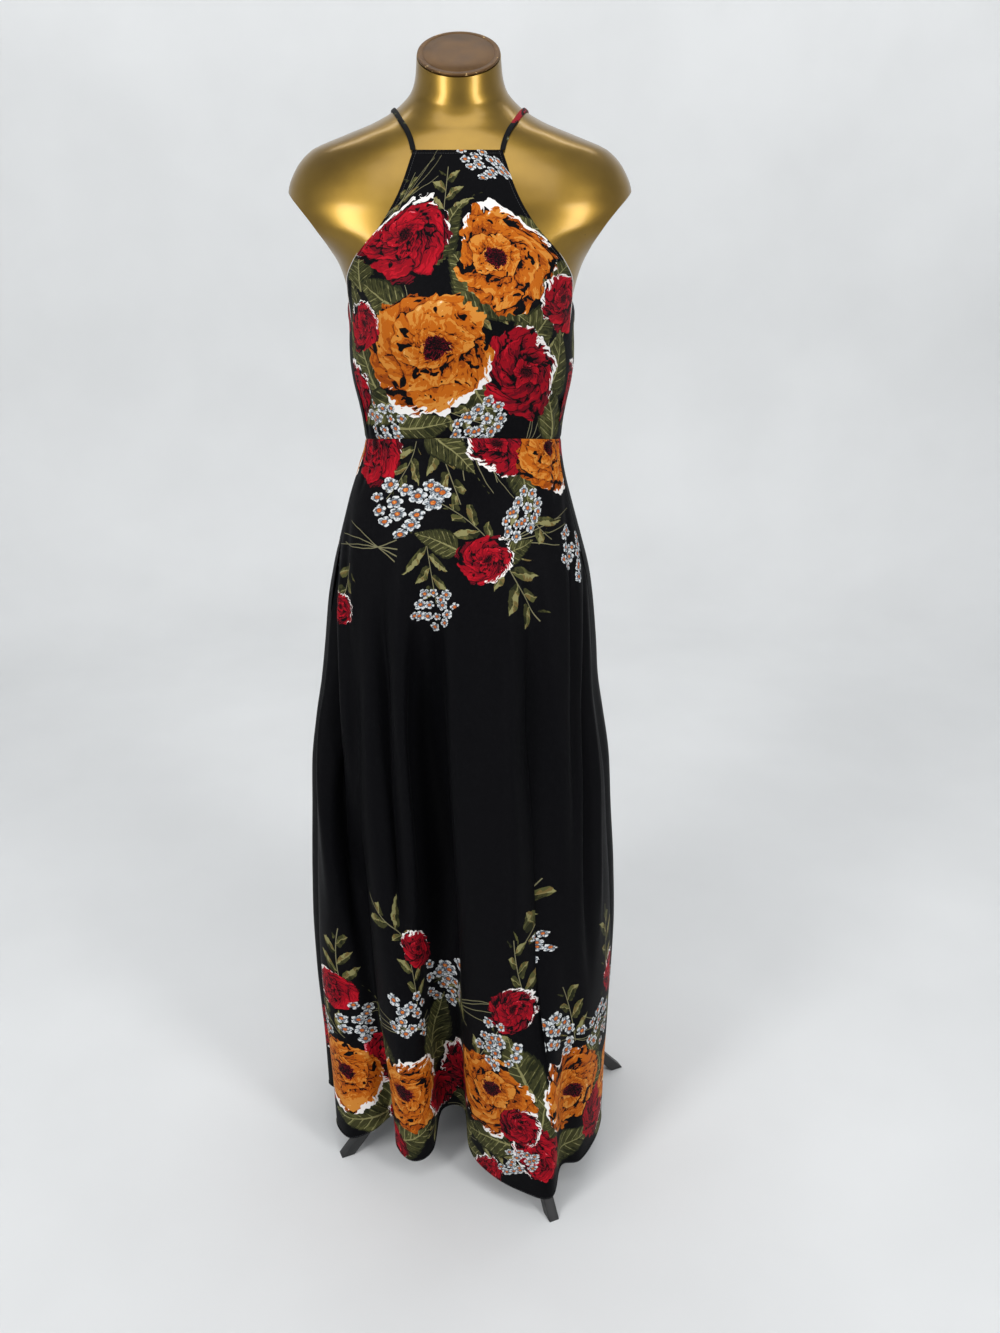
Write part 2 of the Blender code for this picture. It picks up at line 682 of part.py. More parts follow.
def make_leg(number, parts, root, look):
    """A square bar from the hub to the floor, its end cut flat where it stands."""
    slope = math.atan(LEG_RISE)
    start = HUB_HALF + SEAM_GAP
    level_cut = LEG_SIDE / math.sin(slope)
    plumb_cut = LEG_SIDE / math.cos(slope)
    outer = FOOT_RADIUS + level_cut / 2
    top = (outer - start) * LEG_RISE
    side_view = (
        (start, top - plumb_cut),
        (outer - level_cut, 0.0),
        (outer, 0.0),
        (start, top),
    )

    def bar(bm):
        halves = []
        for across in (-LEG_SIDE / 2, LEG_SIDE / 2):
            halves.append([bm.verts.new((across, -out, up)) for out, up in side_view])
        bm.faces.new(halves[0])
        bm.faces.new(halves[1][::-1])
        for i in range(4):
            j = (i + 1) % 4
            bm.faces.new((halves[0][j], halves[0][i], halves[1][i], halves[1][j]))
        bmesh.ops.recalc_face_normals(bm, faces=bm.faces)

    name = f"stand_leg_{number}"
    obj = add_object(name, primitive_mesh(name, bar), parts, root, look, False)
    obj.location = (STAND_X, STAND_Y, 0.0)
    turn = STAND_TURN_DEG + (number - 1) * 360.0 / LEG_COUNT
    obj.rotation_euler = (0.0, 0.0, math.radians(turn))
    return obj


def centre_on_origin(parts, root):
    """Moves the whole model so that the middle of its box stands on the origin."""
    bpy.context.view_layer.update()
    graph = bpy.context.evaluated_depsgraph_get()
    corners = []
    for obj in parts.objects:
        if obj.type != "MESH":
            continue
        evaluated = obj.evaluated_get(graph)
        corners += [evaluated.matrix_world @ v.co for v in evaluated.to_mesh().vertices]
        evaluated.to_mesh_clear()
    corners = np.array(corners)
    middle = (corners.min(axis=0) + corners.max(axis=0)) / 2
    root.location = (-middle[0], -middle[1], 0.0)


def main():
    for obj in list(bpy.data.objects):
        bpy.data.objects.remove(obj, do_unlink=True)
    parts = bpy.data.collections.new(OBJECT_NAME)
    cutters = bpy.data.collections.new("cutters")
    for collection in (parts, cutters):
        bpy.context.scene.collection.children.link(collection)
    root = bpy.data.objects.new("root", None)
    parts.objects.link(root)

    crepe = material("crepe", (0.012, 0.012, 0.014), 0.62)
    gold = material("gold_lacquer", (0.62, 0.42, 0.14), 0.30, metallic=1.0)
    bronze = material("cap_bronze", (0.17, 0.11, 0.06), 0.55)
    black = material("stand_black", (0.02, 0.02, 0.022), 0.45)

    make_torso(parts, cutters, root, gold)
    make_neck_cap(parts, root, bronze)
    make_bodice_front(parts, root, crepe)
    make_bodice_back(parts, root, crepe)
    make_skirt(parts, root, crepe)
    surface = body_surface()
    make_strap("strap_left", -1, surface, parts, root, crepe)
    make_strap("strap_right", 1, surface, parts, root, crepe)
    make_pole(parts, root, black)
    make_hub(parts, root, black)
    for number in range(1, LEG_COUNT + 1):
        make_leg(number, parts, root, black)
    centre_on_origin(parts, root)


main()
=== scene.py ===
"""The looks of a halter-neck maxi dress on its limbless dress form.

Metres, +Z up, the front faces -Y. The cloth pieces lie on the forms of their solids.
"""

import math
from functools import partial

import bmesh
import bpy
import numpy as np
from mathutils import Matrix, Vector
from mathutils.bvhtree import BVHTree


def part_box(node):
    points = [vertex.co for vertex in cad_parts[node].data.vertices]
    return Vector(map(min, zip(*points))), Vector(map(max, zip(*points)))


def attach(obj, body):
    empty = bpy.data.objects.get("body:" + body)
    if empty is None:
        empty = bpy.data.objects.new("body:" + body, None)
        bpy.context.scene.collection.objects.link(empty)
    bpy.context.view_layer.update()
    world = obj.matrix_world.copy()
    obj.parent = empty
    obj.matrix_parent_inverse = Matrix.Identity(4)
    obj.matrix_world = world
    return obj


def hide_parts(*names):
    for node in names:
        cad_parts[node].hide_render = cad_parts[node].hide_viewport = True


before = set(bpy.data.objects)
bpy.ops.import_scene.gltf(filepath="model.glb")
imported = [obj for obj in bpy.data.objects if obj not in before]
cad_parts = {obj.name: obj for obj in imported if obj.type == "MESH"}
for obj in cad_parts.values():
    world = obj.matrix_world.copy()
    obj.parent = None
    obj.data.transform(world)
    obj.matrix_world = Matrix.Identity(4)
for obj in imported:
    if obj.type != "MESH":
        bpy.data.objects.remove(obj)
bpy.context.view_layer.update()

# The solids were built round the form's middle and then moved onto the origin
STAND_X = 0.026
STAND_Y = -0.007
hub_low, hub_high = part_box("stand_hub")
SHIFT = (hub_low + hub_high) / 2 - Vector((STAND_X, STAND_Y, 0.0))
SHIFT.z = 0.0

# Heights above the floor
WAIST_Z = 1.114
SIDE_SEAM_TOP_Z = 1.290
NECKLINE_Z = 1.4555

# The cloth and its seams
WALL = 0.0012
SHEET = 0.0009
SEAM_GAP = 0.0003
WAIST_RISE = 0.019
WAIST_RISE_SHARPNESS = 1.2
SIDE_SEAM = math.radians(70.0)

# How finely the cloth is divided: even steps, and closer ones near an edge
EDGE_STEPS = (0.0, 0.0003, 0.0008, 0.0014, 0.0020, 0.0026, 0.0031, 0.0036, 0.0044, 0.0056, 0.0072)
BODICE_ROWS = 118
BODICE_COLUMNS = 120
BACK_ROWS = 62
BACK_COLUMNS = 124
SKIRT_ROWS = 176
SKIRT_COLUMNS = 236

# Rough sizes of the panels, from which the steps near their edges are worked out
FRONT_HALF_WIDTH = 0.14
BACK_WIDTH = 0.42
BACK_HEIGHT = 0.12
SKIRT_FALL = 1.065

# The dip along the waist seam, the rolled hem, and the turned edges: how much of one is flat
SEAM_DIP = 0.0011
SEAM_DIP_WIDTH = 0.0028
HEM_ROLL = 0.0030
HEM_PROUD = 0.0017
EDGE_TURN = 0.0050
EDGE_PROUD = 0.0007
EDGE_FLAT_SHARE = 0.8

# The pale turned edge that shows at the foot of each armhole: the cloth's back, painted paler as a
# highlight along the edge
EDGE_ROLL_LOW_Z = 1.262
EDGE_ROLL_HIGH_Z = 1.348
EDGE_ROLL_RADIUS = 0.0010
EDGE_ROLL_PROUD = 0.0002
EDGE_ROLL_TIP = 0.08
EDGE_ROLL_COLUMNS = 8

# The straps
STRAP_WIDTH = 0.0062
STRAP_THICKNESS = 0.0022
STRAP_CLEARANCE = 0.0006
STRAP_END_LIFT = 0.0018
STRAP_END_SHARE = 0.12
STRAP_BACK_DEG = 150.0
STRAP_TRIAL_STATIONS = 130
STRAP_COLUMNS = 14
STRAP_SQUARENESS = 0.7
CORD_SHARP = math.radians(60.0)

# Stitches: their size, the gap between them, how far in from an edge they lie, how proud they are
STITCH_LENGTH = 0.0021
STITCH_GAP = 0.0007
STITCH_RADIUS = 0.00022
STITCH_COLUMNS = 6
STITCH_LIFT = 0.3
EDGE_STITCH_IN = 0.0041
HEM_STITCH_IN = 0.0024
# place along a stitch, share of its radius
STITCH_PROFILE = ((-0.5, 0.45), (-0.36, 1.0), (0.36, 1.0), (0.5, 0.45))

# The stand: a pole, a square hub and four square bars to the floor
FORM_BOTTOM_Z = 0.790
STAND_TURN_DEG = 24.0
LEG_COUNT = 4
FOOT_RADIUS = 0.241
LEG_RISE = 1.20
LEG_SIDE = 0.016
HUB_HALF = 0.020
HUB_TOP_Z = 0.310
HUB_BOTTOM_Z = 0.255
POLE_RADIUS = 0.0125
POLE_COLUMNS = 48
BAR_ROUNDING = 0.0012
BAR_SHARP = math.radians(35.0)

# How every rim and bar is rounded
BEVEL = {"segments": 3, "profile": 0.5, "affect": "EDGES"}

# The form's skin: how finely it is divided, and the angle past which its edges are sharp
TORSO_ROWS = 170
TORSO_COLUMNS = 144
TORSO_SHARP = math.radians(50.0)

# The hollow plate that closes each arm: its rim, how it is told from other faces, its rows
ARM_RIM_ROUNDING = 0.0024
ARM_RIM_SHORTEST = 0.0018
ARM_PLATE_CORNERS = 40
ARM_PLATE_FACING = 0.99
ARM_PLATE_ROWS = 24
CLEAR_OF_BODY = 0.40

# The neck cap, an oval plate that tilts to the front, with a ring cut into its top
CAP_HALF_WIDTH = 0.0478
CAP_HALF_DEPTH = 0.0540
CAP_THICKNESS = 0.0035
CAP_ROUNDING = 0.0012
CAP_LOWER_ROUNDING = 0.0006
CAP_ROUNDING_STEPS = 5
CAP_RING_INSET = 0.0055
CAP_RING_WIDTH = 0.0016
CAP_RING_DEPTH = 0.0006
CAP_PLATE_INSET = 0.030
CAP_COLUMNS = 112
CAP_SHARP = math.radians(50.0)
CAP_TILT = math.radians(28.0)
NECK_TOP_Z = 1.556

# The bust of the form, two soft mounds that the cloth bridges
BUST_Z = 1.280
BUST_HEIGHT = 0.050
BUST_DEG = 27.0
BUST_SPREAD_DEG = 17.0
BUST_OUT = 0.014

# The photograph's camera
PHOTO_HEIGHT_PX = 1333
FOCAL_PX = 1200
SENSOR = 36.0
CAMERA_PLACE = (0.0475, -1.546, 1.452)
CAMERA_DOWN_DEG = 23.15

# The studio: a round paper floor that bends up into a wall, which is open before the form
STAGE_RINGS = (0.2, 1.0)
STAGE_FLOOR = 2.3
STAGE_BEND = 0.9
STAGE_TOP = 4.2
STAGE_STEPS = 16
STAGE_COLUMNS = 96
STAGE_OPEN = math.radians(35.0)
STAGE_SHUT = math.radians(75.0)
WORLD_STRENGTH = 0.50
# name, place, where it points, size, power
LIGHTS = (
    ("softbox_left", (-1.6, -1.9, 2.0), (0.0, 0.2, 0.7), (0.6, 1.8), 36.0),
    ("softbox_right", (1.7, -1.8, 2.0), (0.0, 0.2, 0.7), (0.6, 1.8), 31.0),
    ("softbox_top", (0.0, -1.4, 3.4), (0.0, 0.1, 0.2), (2.2, 0.8), 16.0),
    ("softbox_wall", (0.0, 1.2, 3.8), (0.0, 3.1, 1.2), (3.4, 0.6), 45.0),
)

# height, half width, depth to the front, depth to the back, roundness, tilt of the section
BODY_SECTIONS = np.array((
    (0.790, 0.130, 0.074, 0.084, 2.3, 0.0),
    (0.797, 0.143, 0.087, 0.098, 2.3, 0.0),
    (0.820, 0.152, 0.096, 0.108, 2.3, 0.0),
    (0.900, 0.162, 0.103, 0.120, 2.3, 0.0),
    (0.960, 0.154, 0.101, 0.114, 2.3, 0.0),
    (1.030, 0.138, 0.094, 0.102, 2.3, 0.0),
    (1.079, 0.1265, 0.088, 0.092, 2.2, 0.0),
    (1.114, 0.1220, 0.087, 0.088, 2.2, 0.0),
    (1.161, 0.1245, 0.092, 0.090, 2.2, 0.0),
    (1.193, 0.1290, 0.100, 0.094, 2.2, 0.0),
    (1.219, 0.1330, 0.109, 0.098, 2.25, 0.0),
    (1.256, 0.1355, 0.118, 0.102, 2.3, 0.0),
    (1.290, 0.1370, 0.119, 0.104, 2.35, 0.0),
    (1.302, 0.1395, 0.118, 0.105, 2.4, 0.0),
    (1.314, 0.1425, 0.116, 0.106, 2.45, 0.0),
    (1.334, 0.1500, 0.113, 0.107, 2.55, 0.0),
    (1.350, 0.1640, 0.111, 0.107, 2.6, 0.0),
    (1.376, 0.1980, 0.105, 0.105, 2.65, 0.0),
    (1.394, 0.2055, 0.100, 0.102, 2.65, 0.0),
    (1.412, 0.2040, 0.093, 0.098, 2.55, 0.0),
    (1.433, 0.1955, 0.084, 0.091, 2.4, 0.0),
    (1.455, 0.1755, 0.073, 0.081, 2.2, 0.0),
    (1.471, 0.1370, 0.065, 0.072, 2.1, 0.0),
    (1.486, 0.0980, 0.058, 0.064, 2.05, 0.04),
    (1.501, 0.0720, 0.0535, 0.058, 2.0, 0.12),
    (1.519, 0.0550, 0.0510, 0.0545, 2.0, 0.27),
    (1.534, 0.0506, 0.0510, 0.0530, 2.0, 0.42),
    (1.556, 0.0485, 0.0484, 0.0484, 2.0, 0.5317),
))

# height, how far from the middle the hollow plate is that closes the arm
ARM_PLATE = np.array((
    (1.290, 0.1480),
    (1.330, 0.1480),
    (1.350, 0.1540),
    (1.370, 0.1655),
    (1.390, 0.1820),
    (1.412, 0.2050),
    (1.450, 0.2400),
))

# height, half width of the front panel at its armhole edge
ARMHOLE_EDGE = np.array((
    (1.290, 0.1300),
    (1.314, 0.1285),
    (1.338, 0.1180),
    (1.357, 0.1050),
    (1.376, 0.0885),
    (1.412, 0.0665),
    (1.4555, 0.0500),
))

# angle from the front in degrees, height of the back panel's top edge
BACK_EDGE = np.array((
    (70.0, 1.290),
    (90.0, 1.262),
    (120.0, 1.228),
    (150.0, 1.217),
    (180.0, 1.214),
))

# height, how far the bodice stands off the form
BODICE_EASE = np.array((
    (1.090, 0.0035),
    (1.114, 0.0035),
    (1.150, 0.0060),
    (1.190, 0.0085),
    (1.230, 0.0055),
    (1.262, 0.0026),
    (1.300, 0.0034),
    (1.335, 0.0042),
    (1.380, 0.0032),
    (1.460, 0.0030),
))

# height, half width, depth to the front, depth to the back, shift to the right
SKIRT_SECTIONS = np.array((
    (0.040, 0.2200, 0.2150, 0.2150, -0.011),
    (0.157, 0.2220, 0.2120, 0.2130, -0.010),
    (0.278, 0.2265, 0.2080, 0.2100, -0.010),
    (0.359, 0.2275, 0.2040, 0.2060, -0.0095),
    (0.460, 0.2240, 0.1980, 0.2000, -0.0095),
    (0.576, 0.2165, 0.1880, 0.1910, -0.010),
    (0.650, 0.2120, 0.1800, 0.1840, -0.010),
    (0.722, 0.2015, 0.1700, 0.1760, -0.010),
    (0.781, 0.1915, 0.1610, 0.1680, -0.009),
    (0.837, 0.1855, 0.1510, 0.1590, -0.007),
    (0.902, 0.1780, 0.1380, 0.1480, -0.006),
    (0.942, 0.1705, 0.1290, 0.1390, -0.005),
    (0.982, 0.1600, 0.1190, 0.1290, -0.005),
    (1.030, 0.1465, 0.1070, 0.1150, -0.005),
    (1.079, 0.1330, 0.0950, 0.1000, -0.003),
    (1.114, 0.1265, 0.0905, 0.0915, 0.0),
    (1.140, 0.1265, 0.0905, 0.0915, 0.0),
))
SKIRT_ROUNDNESS = 2.15

# drop below the waist seam, how much of the hem's folds the skirt has there
FLUTE_GROWTH = np.array((
    (0.000, 0.00),
    (0.100, 0.00),
    (0.180, 0.05),
    (0.300, 0.17),
    (0.500, 0.41),
    (0.700, 0.64),
    (0.900, 0.85),
    (1.064, 1.00),
))
# how far below the waist seam the skirt has left the body's own shape
WAIST_BLEND = 0.08

# part of a fold at the hem, x, distance to the front, height, angle at the waist in degrees
HEM_FOLDS = (
    ("left_side_crest", -0.232, 0.004, 0.052, -88),
    ("left_seam_trough", -0.190, 0.046, 0.058, -77),
    ("left_front_crest", -0.209, 0.086, 0.050, -69),
    ("left_front_crest", -0.186, 0.121, 0.048, -62),
    ("left_front_crest", -0.150, 0.117, 0.058, -56),
    ("left_trough", -0.118, 0.098, 0.070, -48),
    ("second_crest", -0.109, 0.142, 0.050, -40),
    ("second_crest", -0.083, 0.165, 0.045, -31),
    ("second_crest", -0.056, 0.148, 0.050, -23),
    ("centre_trough", -0.044, 0.092, 0.076, -16),
    ("centre_trough", -0.008, 0.088, 0.074, -9),
    ("front_crest", 0.003, 0.150, 0.052, -3),
    ("front_crest", 0.034, 0.190, 0.045, 6),
    ("front_crest", 0.078, 0.219, 0.042, 17),
    ("front_crest", 0.122, 0.232, 0.042, 28),
    ("right_trough", 0.138, 0.184, 0.055, 36),
    ("right_front_crest", 0.168, 0.168, 0.050, 48),
    ("right_front_crest", 0.196, 0.118, 0.050, 58),
    ("right_front_crest", 0.206, 0.066, 0.052, 68),
    ("right_seam_trough", 0.184, 0.034, 0.058, 76),
    ("right_side_crest", 0.212, 0.000, 0.056, 85),
    ("right_side_crest", 0.217, -0.042, 0.070, 95),
    ("right_side_crest", 0.211, -0.086, 0.082, 106),
    ("right_back_trough", 0.160, -0.108, 0.064, 116),
    ("right_back_crest", 0.170, -0.152, 0.052, 125),
    ("right_back_crest", 0.136, -0.186, 0.048, 134),
    ("right_middle_trough", 0.098, -0.130, 0.058, 144),
    ("right_middle_crest", 0.078, -0.205, 0.048, 154),
    ("right_middle_crest", 0.040, -0.214, 0.048, 162),
    ("back_trough", 0.012, -0.140, 0.062, 172),
    ("back_crest", -0.030, -0.214, 0.050, 183),
    ("back_crest", -0.078, -0.226, 0.050, 193),
    ("left_middle_trough", -0.100, -0.140, 0.060, 204),
    ("left_middle_crest", -0.140, -0.176, 0.048, 214),
    ("left_middle_crest", -0.168, -0.142, 0.050, 223),
    ("left_back_trough", -0.146, -0.088, 0.060, 233),
    ("left_back_crest", -0.205, -0.092, 0.050, 244),
    ("left_back_crest", -0.222, -0.054, 0.050, 254),
    ("left_rear_trough", -0.192, -0.030, 0.058, 263),
)
LEFT_SEAM_FOLD = 1
RIGHT_SEAM_FOLD = 19
SPLINE_STEPS = 24

# angle over the shoulder in degrees (0 is straight up), distance from the middle
STRAP_ROUTE = np.array((
    (-60.0, 0.0475),
    (-45.0, 0.0530),
    (-20.0, 0.0690),
    (0.0, 0.0765),
    (25.0, 0.0790),
    (60.0, 0.0770),
    (100.0, 0.0700),
    (150.0, 0.0600),
))
STRAP_CENTRE_Z = 1.400
STRAP_RAY_START = 0.5

# The print on the front panels: places across and up from the waist seam on the flat cloth,
# half width, half height, turn in degrees. Each layer lies over those before it.
PRINT = {
    "bodice_front": {
        "grass": (
            (-0.036, 0.322, 0.034, 0.026, 24),
            (-0.070, 0.172, 0.040, 0.030, 118),
            (0.100, 0.020, 0.040, 0.030, 64),
        ),
        "sprig": (
            (-0.060, 0.312, 0.034, 0.026, 66),
            (0.028, 0.152, 0.040, 0.034, 12),
            (0.118, 0.150, 0.048, 0.034, 78),
            (0.010, 0.028, 0.044, 0.030, -20),
            (-0.130, 0.052, 0.044, 0.030, 96),
            (-0.014, 0.290, 0.036, 0.026, 84),
        ),
        "leaf": (
            (-0.118, 0.222, 0.046, 0.030, 76),
            (-0.096, 0.180, 0.040, 0.028, 150),
            (-0.150, 0.150, 0.050, 0.030, 84),
            (0.008, 0.196, 0.044, 0.028, 118),
            (0.104, 0.148, 0.050, 0.032, 40),
            (0.128, 0.096, 0.050, 0.030, 70),
            (0.022, 0.050, 0.040, 0.028, -62),
            (-0.110, 0.036, 0.050, 0.030, 200),
            (0.092, 0.286, 0.034, 0.022, 48),
            (-0.012, 0.246, 0.038, 0.026, 62),
            (-0.044, 0.018, 0.036, 0.026, 8),
        ),
        "leaf_over": (
            (-0.128, 0.110, 0.050, 0.032, 112),
            (0.044, 0.168, 0.040, 0.026, -26),
            (0.126, 0.216, 0.044, 0.026, 66),
            (0.118, 0.040, 0.044, 0.028, 100),
        ),
        "rose": (
            (-0.062, 0.246, 0.066, 0.062, 30),
            (0.076, 0.086, 0.070, 0.064, -35),
            (0.150, 0.172, 0.044, 0.060, 80),
            (-0.160, 0.062, 0.040, 0.050, 10),
        ),
        "peony": (
            (-0.040, 0.106, 0.096, 0.092, 10),
            (0.056, 0.224, 0.076, 0.074, 150),
        ),
        "rose_over": (
            (-0.132, 0.142, 0.036, 0.040, 100),
        ),
        "daisy": (
            (0.030, 0.338, 0.034, 0.026, 20),
            (0.022, 0.022, 0.040, 0.034, 50),
            (-0.100, 0.020, 0.038, 0.034, 140),
        ),
    },
    "skirt_front": {
        "grass": (
            (0.020, -0.030, 0.060, 0.040, -76),
            (0.120, -0.118, 0.052, 0.036, 8),
            (-0.150, -0.128, 0.044, 0.034, 168),
            (0.020, -0.800, 0.064, 0.040, 12),
            (-0.240, -0.838, 0.070, 0.040, 172),
            (0.215, -0.850, 0.070, 0.040, 166),
            (-0.020, -1.040, 0.060, 0.034, 18),
        ),
        "sprig": (
            (-0.012, -0.050, 0.058, 0.036, -66),
            (-0.075, -0.040, 0.046, 0.030, -118),
            (0.100, -0.095, 0.046, 0.032, -52),
            (0.082, -0.186, 0.060, 0.040, -58),
            (0.010, -0.106, 0.050, 0.032, 142),
            (-0.036, -0.166, 0.046, 0.030, -84),
            (-0.176, -0.205, 0.050, 0.036, -112),
            (0.106, -0.640, 0.066, 0.042, 58),
            (0.076, -0.718, 0.060, 0.034, 98),
            (-0.162, -0.672, 0.062, 0.040, 128),
            (-0.150, -0.760, 0.054, 0.034, 84),
            (-0.060, -0.816, 0.060, 0.036, 154),
            (0.024, -0.862, 0.056, 0.036, 60),
            (-0.300, -0.752, 0.060, 0.038, 76),
            (-0.360, -0.848, 0.056, 0.036, 118),
            (0.178, -0.812, 0.056, 0.036, 106),
            (0.256, -0.720, 0.060, 0.036, 94),
            (0.300, -0.840, 0.056, 0.036, 52),
            (0.050, -1.046, 0.056, 0.030, -14),
            (-0.180, -1.050, 0.050, 0.030, 190),
        ),
        "leaf": (
            (-0.012, -0.018, 0.040, 0.024, -40),
            (0.082, -0.056, 0.040, 0.026, -74),
            (-0.028, -0.128, 0.030, 0.020, 160),
            (0.066, -0.138, 0.034, 0.022, 20),
            (-0.118, -0.878, 0.058, 0.040, 62),
            (-0.256, -0.888, 0.056, 0.038, 104),
            (0.082, -0.886, 0.060, 0.040, 112),
            (0.228, -0.890, 0.056, 0.038, 70),
            (-0.402, -0.916, 0.054, 0.036, 88),
            (-0.060, -1.036, 0.052, 0.036, 168),
            (0.342, -0.884, 0.054, 0.036, 84),
        ),
        "leaf_over": (
            (-0.140, -0.944, 0.056, 0.040, 20),
            (0.118, -0.972, 0.058, 0.042, 84),
            (-0.300, -1.008, 0.058, 0.040, 66),
            (0.268, -0.962, 0.054, 0.038, 106),
            (0.020, -1.030, 0.050, 0.034, 190),
            (0.200, -1.040, 0.052, 0.034, 12),
            (-0.352, -1.044, 0.056, 0.036, 174),
            (-0.230, -1.052, 0.056, 0.038, 24),
            (-0.440, -1.058, 0.050, 0.032, 60),
            (0.300, -1.060, 0.050, 0.034, 160),
            (-0.020, -1.076, 0.048, 0.030, 4),
        ),
        "rose": (
            (-0.122, -0.012, 0.054, 0.060, 40),
            (0.048, -0.004, 0.060, 0.046, 160),
            (-0.126, -0.722, 0.032, 0.044, 30),
            (0.064, -0.788, 0.040, 0.048, -30),
            (-0.330, -0.808, 0.040, 0.044, 90),
            (0.290, -0.790, 0.040, 0.046, 20),
            (-0.066, -0.968, 0.066, 0.060, 70),
            (-0.280, -0.950, 0.058, 0.060, 200),
            (0.112, -1.030, 0.056, 0.046, 120),
            (0.264, -1.016, 0.056, 0.054, 300),
            (-0.430, -0.984, 0.056, 0.056, 20),
            (-0.274, -1.064, 0.052, 0.040, 150),
            (0.022, -1.096, 0.050, 0.034, 60),
            (0.392, -0.950, 0.050, 0.056, 150),
        ),
        "peony": (
            (0.124, -0.022, 0.054, 0.066, 60),
            (0.026, -0.944, 0.090, 0.086, 20),
            (-0.200, -0.966, 0.080, 0.084, 130),
            (0.186, -0.938, 0.080, 0.082, 250),
            (-0.366, -0.966, 0.080, 0.080, 10),
            (0.330, -0.976, 0.076, 0.078, 90),
        ),
        "rose_over": (
            (0.034, -0.150, 0.044, 0.036, 15),
            (-0.182, -0.224, 0.026, 0.030, 60),
            (-0.136, -1.012, 0.046, 0.048, 240),
            (0.080, -0.986, 0.040, 0.040, 30),
        ),
        "daisy": (
            (-0.066, -0.084, 0.058, 0.044, 12),
            (0.082, -0.092, 0.036, 0.032, 70),
            (-0.034, -0.214, 0.034, 0.034, 30),
            (0.170, -0.150, 0.030, 0.040, 30),
            (0.122, -0.690, 0.030, 0.034, 80),
            (0.040, -0.852, 0.040, 0.048, 10),
            (-0.080, -0.800, 0.050, 0.044, 130),
            (-0.170, -0.826, 0.042, 0.052, 200),
            (0.160, -0.838, 0.046, 0.050, 260),
            (0.250, -0.860, 0.040, 0.044, 20),
            (-0.300, -0.868, 0.046, 0.044, 170),
            (-0.390, -0.868, 0.040, 0.040, 60),
            (0.080, -1.052, 0.040, 0.028, 30),
        ),
    },
}
# The back panels carry the front's flowers, spread wider: the front panel, how much wider
BACK_SPREAD = {"bodice_back": ("bodice_front", 1.45), "skirt_back": ("skirt_front", 1.30)}
# What lies outside every motif, how far one reaches, and how its seed is numbered
UNPRINTED = 9.0
MOTIF_REACH = 1.42
FACE_REACH = 0.008
SEED_STEP = 1.7

